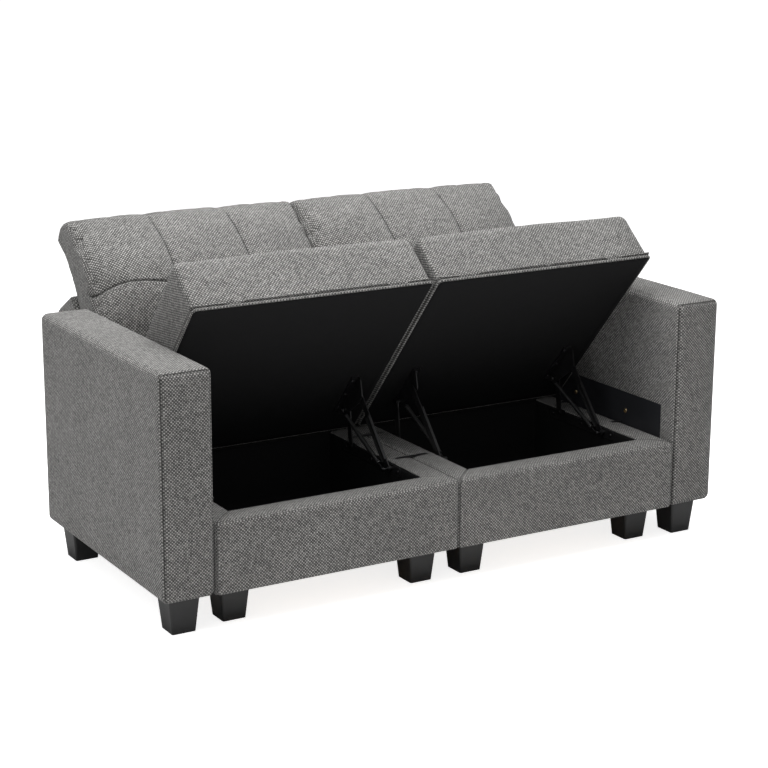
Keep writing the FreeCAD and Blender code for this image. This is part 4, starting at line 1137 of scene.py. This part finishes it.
def emptyMeshObject(name, points=(), ways=None):
    mesh = bpy.data.meshes.new(name)
    mesh.from_pydata([tuple(p) for p in points], [], [])
    if ways is not None:
        layer = mesh.attributes.new("way", "FLOAT_VECTOR", "POINT")
        layer.data.foreach_set("vector", np.asarray(ways, dtype=float).ravel())
    item = bpy.data.objects.new(name, mesh)
    bpy.context.scene.collection.objects.link(item)
    return item


weltLook = {"cord": 3.6 * mm, "corner": 12 * mm, "inset": 3.2 * mm, "height": 3.6 * mm}


def makeWelt(tree, ids):
    look = weltLook
    piece = runTree("rightLidWelt", emptyMeshObject("weltSeed"), tree, ids, {
        "Width": 2 * (lidHalf - look["inset"]), "Length": lidLook["length"] - 2 * look["inset"],
        "Corner": look["corner"], "Cord": look["cord"], "Cloth": weave})
    points = vertexArray(piece)
    points[:, 1] += lidLook["length"] / 2
    points[:, 2] += look["height"]
    setVertices(piece, points)
    smoothAll(piece)
    writePaintedShade(piece, np.zeros(len(points)))
    layCloth(piece)
    setVertices(piece, tilted(points))
    return piece


underLook = {"cuts": 44, "sag": 0.45 * mm, "thickness": 0.5 * mm}


def makeUnderCloth():
    # Black cloth stretched under the lid board, with faint drag lines
    look = underLook
    halfX = lidHalf - lidLook["clothMargin"]
    y0, y1 = lidLook["clothMargin"], lidLook["length"] - lidLook["clothMargin"]
    n = look["cuts"]
    points = []
    for i in range(n + 1):
        for j in range(n + 1):
            x = -halfX + 2 * halfX * i / n
            y = y0 + (y1 - y0) * j / n
            points.append((x, y, 0.5 * mm))
    faces = [[i * (n + 1) + j, (i + 1) * (n + 1) + j, (i + 1) * (n + 1) + j + 1, i * (n + 1) + j + 1]
             for i in range(n) for j in range(n)]
    piece = meshPiece("rightUnderCloth", points, faces, felt)
    places = np.array(points)
    edge = np.minimum(np.minimum(halfX - np.abs(places[:, 0]), places[:, 1] - y0), y1 - places[:, 1])
    inside = np.clip(edge / 0.05, 0, 1)
    places[:, 2] += look["sag"] * ripple(places * np.array([1.0, 0.3, 1.0]), 16.0, 3) * inside
    setVertices(piece, tilted(places))
    smoothAll(piece)
    addThickness(piece, "thickness", look["thickness"], 0)
    applyModifiers(piece)
    outwards(piece)
    return piece


seatCushion = makeLidCushion()
treeForWelt, weltIds = weltTree()
lidPieces = {
    "seat_cushion": (seatCushion, "SeatCushion", "upholstery", 0.85),
    "lid_welt": (makeWelt(treeForWelt, weltIds), "LidWelt", "upholstery", None),
    "lid_undercloth": (makeUnderCloth(), "UnderCloth", "black_cloth", None),
}
for node, (piece, label, slotName, fill) in lidPieces.items():
    twin = mirrorPiece(piece, "left" + label)
    finish(piece, "right_lid", ["right_" + node], slotName, fill)
    finish(twin, "left_lid", ["left_" + node], slotName, fill)
print("seat lids padded")


# Small pieces, placed by points with a way they face

def solidsOf(node):
    # The corner points of each separate solid of a node
    item = frame["nodes"][node]
    mesh = item.data
    parent = list(range(len(mesh.vertices)))

    def root(a):
        while parent[a] != a:
            parent[a] = parent[parent[a]]
            a = parent[a]
        return a

    place = np.array(item.matrix_world)
    coords = readVectors(mesh.vertices, "co") @ place[:3, :3].T + place[:3, 3]
    keys = {}
    for index, p in enumerate(np.round(coords, 5)):
        first = keys.setdefault(tuple(p), index)
        if first != index:
            parent[root(index)] = root(first)
    for edge in mesh.edges:
        parent[root(edge.vertices[0])] = root(edge.vertices[1])
    groups = {}
    for index in range(len(parent)):
        groups.setdefault(root(index), []).append(index)
    return [coords[group] for group in groups.values()]


screwLook = {
    "panRadius": 4.5 * mm,
    "panHeight": 2.1 * mm,
    "recess": 0.9 * mm,
    "cross": 2.3 * mm,
    "boltRadius": 6.9 * mm,
    "boltHeight": 2.4 * mm,
    "boltRecess": 1.3 * mm,
    "socket": 3.0 * mm,
    "plateGap": 1.1 * mm,       # from a bracket screw's middle to the foot of its head
}


def screwMesh(name, radius, height, recess, sides, reach, material):
    # Domed round head with a recess: a cross for four sides, a hexagon socket for six
    ring, step = 48, 2 * math.pi / 48
    profile = [(1.0, 0.0), (1.0, 0.28), (0.93, 0.62), (0.78, 0.86), (0.58, 0.97), (0.46, 1.0)]
    points = [(radius * r * math.cos(i * step), radius * r * math.sin(i * step), height * h)
              for r, h in profile for i in range(ring)]
    rows = len(profile)
    inner = []
    for i in range(ring):
        angle = i * step
        if sides == 6:
            fold = (angle % (math.pi / 3)) - math.pi / 6
            size = reach * math.cos(math.pi / 6) / math.cos(fold)
        else:
            fold = abs(((angle + math.pi / 4) % (math.pi / 2)) - math.pi / 4)
            size = min(reach / max(math.cos(fold), 0.2), 0.22 * reach / max(math.sin(fold), 1e-6))
            size = max(size, 0.3 * reach)
        inner.append(size)
    for depth, share in ((0.0, 1.0), (-recess * 0.85, 0.93), (-recess, 0.6)):
        points += [(s * share * math.cos(i * step), s * share * math.sin(i * step), height + depth)
                   for i, s in enumerate(inner)]
    rows += 3
    points.append((0, 0, height - recess))
    faces = stripFaces(rows, ring)
    top = (rows - 1) * ring
    faces += [[top + i, top + (i + 1) % ring, rows * ring] for i in range(ring)]
    faces.append([i for i in reversed(range(ring))])
    item = meshPiece(name, points, faces, material)
    outwards(item)
    for polygon in item.data.polygons:
        polygon.use_smooth = len(polygon.vertices) < 10
    edges = item.data.attributes.new("sharp_edge", "BOOLEAN", "EDGE")
    flags = [abs(item.data.vertices[e.vertices[0]].co.z - item.data.vertices[e.vertices[1]].co.z) < 1e-6
             and item.data.vertices[e.vertices[0]].index >= (len(profile) - 1) * ring
             for e in item.data.edges]
    edges.data.foreach_set("value", flags)
    return item


def scatterTree():
    # Put a small solid on every point, turned to the point's way and spun a little at random
    tree, ids, given = startTree("scatterTree", (
        ("Solid", "Object", None), ("Spin", "Float", 3.1), ("Seed", "Int", 7), ("Finish", "Material", None)))
    shape = addNode(tree, "GeometryNodeObjectInfo", {"Object": given["Solid"]})
    way = addNode(tree, "GeometryNodeInputNamedAttribute", {"Name": "way"}, data_type="FLOAT_VECTOR")
    facing = addNode(tree, "FunctionNodeAlignRotationToVector", {"Vector": way.outputs["Attribute"]}, axis="Z")
    inputs = {2: 0.0, 3: given["Spin"], "Seed": given["Seed"]}
    spin = addNode(tree, "FunctionNodeRandomValue", inputs, data_type="FLOAT")
    axis = addNode(tree, "FunctionNodeAxisAngleToRotation", {"Axis": (0, 0, 1), "Angle": spin.outputs[1]})
    inputs = {0: facing.outputs[0], 1: axis.outputs[0]}
    spun = addNode(tree, "FunctionNodeRotateRotation", inputs, rotation_space="LOCAL")
    inputs = {"Points": given["Geometry"], "Instance": shape.outputs["Geometry"], "Rotation": spun.outputs[0]}
    copies = addNode(tree, "GeometryNodeInstanceOnPoints", inputs)
    endTree(tree, copies.outputs[0], given["Finish"])
    return tree, ids


def headOf(name, radius, height, recess, sides, reach, material):
    sizes = (screwLook[key] for key in (radius, height, recess))
    return screwMesh(name, *sizes, sides, screwLook[reach], material)


panHead = headOf("panHead", "panRadius", "panHeight", "recess", 4, "cross", zinc)
boltHead = headOf("boltHead", "boltRadius", "boltHeight", "boltRecess", 6, "socket", yellowZinc)
scatter, scatterIds = scatterTree()
lidDown = np.array([0.0, -math.sin(lidTilt), -math.cos(lidTilt)])


def middleOf(solid):
    return (solid.min(axis=0) + solid.max(axis=0)) / 2


def footOf(solid, atHigh):
    # Middle of a solid's end in X
    foot = middleOf(solid)
    foot[0] = solid[:, 0].max() if atHigh else solid[:, 0].min()
    return foot


def makeScrews(name, node, places, ways, head, metal, body, slotName, seed):
    seeds = emptyMeshObject("screwSeeds", places, ways)
    piece = runTree(name, seeds, scatter, scatterIds,
                    {"Solid": head, "Spin": 1.5, "Seed": seed, "Finish": metal})
    finish(piece, body, [node], slotName)


for name, side in sides.items():
    node = name + "_rail_screws"
    solids = solidsOf(node)
    ways = [(1.0 if solid[:, 0].mean() < side * seatMiddle else -1.0, 0.0, 0.0) for solid in solids]
    feet = [footOf(solid, way[0] < 0) for solid, way in zip(solids, ways)]
    makeScrews(name + "RailScrews", node, feet, ways, panHead, zinc, "base", "bright_steel", 3)
    node = name + "_bracket_screws"
    feet = [middleOf(solid) - lidDown * screwLook["plateGap"] for solid in solidsOf(node)]
    ways = np.tile(lidDown, (len(feet), 1))
    makeScrews(name + "BracketScrews", node, feet, ways, panHead, zinc, name + "_lid", "bright_steel", 5)
    node = name + "_arm_bolts"
    feet = [footOf(solid, side > 0) for solid in solidsOf(node)]
    ways = np.tile([-side, 0.0, 0.0], (len(feet), 1))
    makeScrews(name + "ArmBolts", node, feet, ways, boltHead, yellowZinc, "base", "zinc_brass", 9)
for head in (panHead, boltHead):
    bpy.data.objects.remove(head)
print("screws placed")


# Tension springs: a close coil that stretches between its base pin and its hook at the lid

springLook = {
    "wire": 1.0 * mm,
    "coil": 5.3 * mm,
    "pitch": 2.35 * mm,
    "start": 27 * mm,           # from the base pin to the first curl
    "end": 222 * mm,
    "eye": 5.2 * mm,
    "eyeWire": 1.5 * mm,
    "collar": 6.2 * mm,
    "ringSteps": 22,
}


def coilTree():
    tree, ids, given = startTree("coilTree", (
        ("Turns", "Float", 80.0), ("Length", "Float", 0.2), ("Radius", "Float", 0.005),
        ("Wire", "Float", 0.001), ("Steps", "Int", 22), ("Finish", "Material", None)))
    spiral = addNode(tree, "GeometryNodeCurveSpiral", {
        "Resolution": given["Steps"], "Rotations": given["Turns"], "Height": given["Length"],
        "Start Radius": given["Radius"], "End Radius": given["Radius"]})
    endTree(tree, cordAlong(tree, spiral.outputs[0], 7, given["Wire"], True), given["Finish"])
    return tree, ids


def wireAlong(points, radius, sides=10):
    # Round wire through points as vertices and faces, with closed ends
    points = [Vector(p) for p in points]
    verts, side = [], None
    for index, p in enumerate(points):
        ahead = points[min(index + 1, len(points) - 1)] - points[max(index - 1, 0)]
        ahead.normalize()
        if side is None:
            side = ahead.cross(Vector((1, 0, 0)))
            if side.length < 0.1:
                side = ahead.cross(Vector((0, 1, 0)))
        side = (side - ahead * side.dot(ahead)).normalized()
        other = ahead.cross(side)
        for k in range(sides):
            a = 2 * math.pi * k / sides
            verts.append(p + side * (radius * math.cos(a)) + other * (radius * math.sin(a)))
    faces = stripFaces(len(points), sides)
    faces.append([i for i in reversed(range(sides))])
    faces.append([(len(points) - 1) * sides + i for i in range(sides)])
    return verts, faces


def mergeMeshes(name, parts, material):
    points, faces = [], []
    for verts, rings in parts:
        start = len(points)
        points += [tuple(v) for v in verts]
        faces += [[start + i for i in ring] for ring in rings]
    piece = meshPiece(name, points, faces, material)
    outwards(piece)
    smoothAll(piece)
    return piece


def sleeve(start, along, radius, inner, length, steps=32):
    # Short round collar with a bore and eased rims
    side = along.cross(Vector((1, 0, 0))).normalized()
    other = along.cross(side)
    ease = 0.5 * mm
    profile = [(inner, 0), (radius - ease, 0), (radius, ease), (radius, length - ease),
               (radius - ease, length), (inner, length)]
    verts, faces = [], []
    for r, z in profile:
        for k in range(steps):
            a = 2 * math.pi * k / steps
            verts.append(start + along * z + side * (r * math.cos(a)) + other * (r * math.sin(a)))
    rows = len(profile)
    for j in range(rows):
        below, above = j * steps, ((j + 1) % rows) * steps
        for k in range(steps):
            n = (k + 1) % steps
            faces.append([below + k, below + n, above + n, above + k])
    return verts, faces


def makeSprings(name, tree, ids):
    look = springLook
    base = Vector(jointNamed(name + "_spring_swing")["pos_m"])
    along = Vector(jointNamed(name + "_spring_stretch")["axis"]).normalized()
    across = Vector((1, 0, 0)).cross(along)
    length = look["end"] - look["start"]
    centres = sorted({round(float((s[:, 0].min() + s[:, 0].max()) / 2), 4)
                      for s in solidsOf(name + "_spring_hooks") if np.ptp(s[:, 1]) > 0.1})
    coils, ends = [], []
    turned = Matrix((Vector((1, 0, 0)), across, along)).transposed()
    for x in centres:
        start = Vector((x, base.y, base.z))
        one = runTree("coil", emptyMeshObject("coilSeed"), tree, ids, {
            "Turns": length / look["pitch"], "Length": length, "Radius": look["coil"],
            "Wire": look["wire"], "Steps": look["ringSteps"], "Finish": steel})
        points = vertexArray(one) @ np.array(turned).T + np.array(start + along * look["start"])
        coils.append(([tuple(p) for p in points], [list(f.vertices) for f in one.data.polygons]))
        bpy.data.objects.remove(one)
        eye = [start + along * (look["eye"] * math.cos(math.radians(a)))
               + across * (look["eye"] * math.sin(math.radians(a))) for a in range(40, 271, 10)]
        eye += [start + along * (look["eye"] * t) - across * (look["eye"] * (1 - t ** 2))
                for t in (0.35, 0.7, 1.0)]
        eye += [start + along * d * mm for d in (8, 14, 20, 26, 29)]
        ends.append(wireAlong(eye, look["eyeWire"]))
        ends.append(sleeve(start + along * (look["start"] - 2 * mm), along, look["collar"], 1.4 * mm, 6 * mm))
    coil = mergeMeshes(name + "SpringCoils", coils, steel)
    far = base + along * look["end"]
    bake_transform(coil)
    eyes = mergeMeshes(name + "SpringEyes", ends, steel)
    finish(eyes, name + "_spring", [name + "_spring_coils"], "black_steel")
    caps = mergeMeshes(name + "SpringCaps", [sleeve(Vector((x, far.y, far.z)) - along * 4 * mm, along,
                                                    look["collar"], 1.7 * mm, 6 * mm) for x in centres], steel)
    finish(caps, name + "_spring_hook", [], "black_steel")


coilNodes, coilIds = coilTree()
for name in sides:
    makeSprings(name, coilNodes, coilIds)
print("springs wound")


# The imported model's own pieces take their finish here
plainFinish = {
    "_seat_legs": plastic, "_arm_legs": plastic, "_arm_panel": panelFinish,
    "_box_timber": wood, "_bottom_board": wood, "_arm_timber": wood, "_back_timber": wood, "_lid_board": felt,
    "_arm_hooks": steel, "_lift_rails": steel, "_rear_links": steel, "_front_links": steel,
    "_lid_brackets": steel, "_spring_hooks": steel,
    "_base_pins": zinc, "_lid_pins": zinc, "_front_link_rivets": zinc,
}
for node, item in frame["nodes"].items():
    chosen = steel if node in ("seam_hooks", "back_brackets") else None
    for ending, material in plainFinish.items():
        if node.endswith(ending):
            chosen = material
    if chosen is None:
        continue
    for place in item.material_slots:
        place.material = chosen
print("plain pieces finished")


# Floor, light and camera
studioLook = {
    "floor": (0.93, 0.93, 0.93),
    "glow": 0.8,                # lifts the floor to white for the camera only
    "sky": 0.2755,
    "backdrop": 1.05,
    "aim": (0, 0, 0.35),
    "lens": 92.52,
    "pitch": 90 - 14.44,
    "turn": -29.79,
    "shift": (0.0469, -0.0107),
    "eye": (-2.6667, -4.0776, 1.8126),   # where the camera stands, from the arm fronts
}
# Each lamp's place, size and power
lamps = {
    "topLight": ((-0.1, -0.1, 3.4), 3.0, 166),
    "frontLight": ((-1.4, -3.7, 2.2), 2.6, 8),
    "sideLight": ((-3.6, -1.0, 2.4), 2.6, 32),
}


def makeStage():
    look = studioLook
    white = (1, 1, 1, 1)
    bpy.ops.mesh.primitive_plane_add(size=60, location=(0, 0, -0.5 * mm))
    floor = bpy.context.object
    floor.name = "floor"
    material, tree, shader = newMaterial("paperFloor")
    shader.inputs["Base Color"].default_value = (*look["floor"], 1)
    shader.inputs["Roughness"].default_value = 0.85
    shader.inputs["Specular IOR Level"].default_value = 0.15
    # The camera sees the floor lifted to paper white, and keeps the soft shadow under the legs
    glow = addNode(tree, "ShaderNodeEmission", {"Color": white, "Strength": look["glow"]})
    both = addNode(tree, "ShaderNodeAddShader", {0: shader.outputs[0], 1: glow.outputs[0]})
    seen = tree.nodes.new("ShaderNodeLightPath").outputs["Is Camera Ray"]
    pick = addNode(tree, "ShaderNodeMixShader", {0: seen, 1: shader.outputs[0], 2: both.outputs[0]})
    tree.links.new(pick.outputs[0], tree.nodes["Material Output"].inputs["Surface"])
    floor.data.materials.append(material)

    world = bpy.data.worlds.new("studio")
    bpy.context.scene.world = world
    world.use_nodes = True
    tree = world.node_tree
    sky = tree.nodes["Background"]
    sky.inputs[0].default_value = white
    sky.inputs[1].default_value = look["sky"]
    plain = addNode(tree, "ShaderNodeBackground", {0: white, 1: look["backdrop"]})
    seen = tree.nodes.new("ShaderNodeLightPath").outputs["Is Camera Ray"]
    choose = addNode(tree, "ShaderNodeMixShader", {0: seen, 1: sky.outputs[0], 2: plain.outputs[0]})
    tree.links.new(choose.outputs[0], tree.nodes["World Output"].inputs[0])

    for label, (place, size, power) in lamps.items():
        data = bpy.data.lights.new(label, "AREA")
        data.shape = "SQUARE"
        data.size = size
        data.energy = power
        lamp = bpy.data.objects.new(label, data)
        lamp.location = place
        lamp.rotation_euler = (Vector(look["aim"]) - Vector(place)).to_track_quat("-Z", "Y").to_euler()
        bpy.context.scene.collection.objects.link(lamp)


def makeCamera():
    look = studioLook
    data = bpy.data.cameras.new("photoCamera")
    data.lens = look["lens"]
    data.sensor_width = 36
    data.shift_x, data.shift_y = look["shift"]
    camera = bpy.data.objects.new("photoCamera", data)
    x, y, z = look["eye"]
    camera.location = (x, frontY + y, z)
    camera.rotation_euler = (math.radians(look["pitch"]), 0, math.radians(look["turn"]))
    bpy.context.scene.collection.objects.link(camera)
    bpy.context.scene.camera = camera


makeStage()
makeCamera()
bpy.context.scene.view_settings.view_transform = "Standard"
print("studio set")
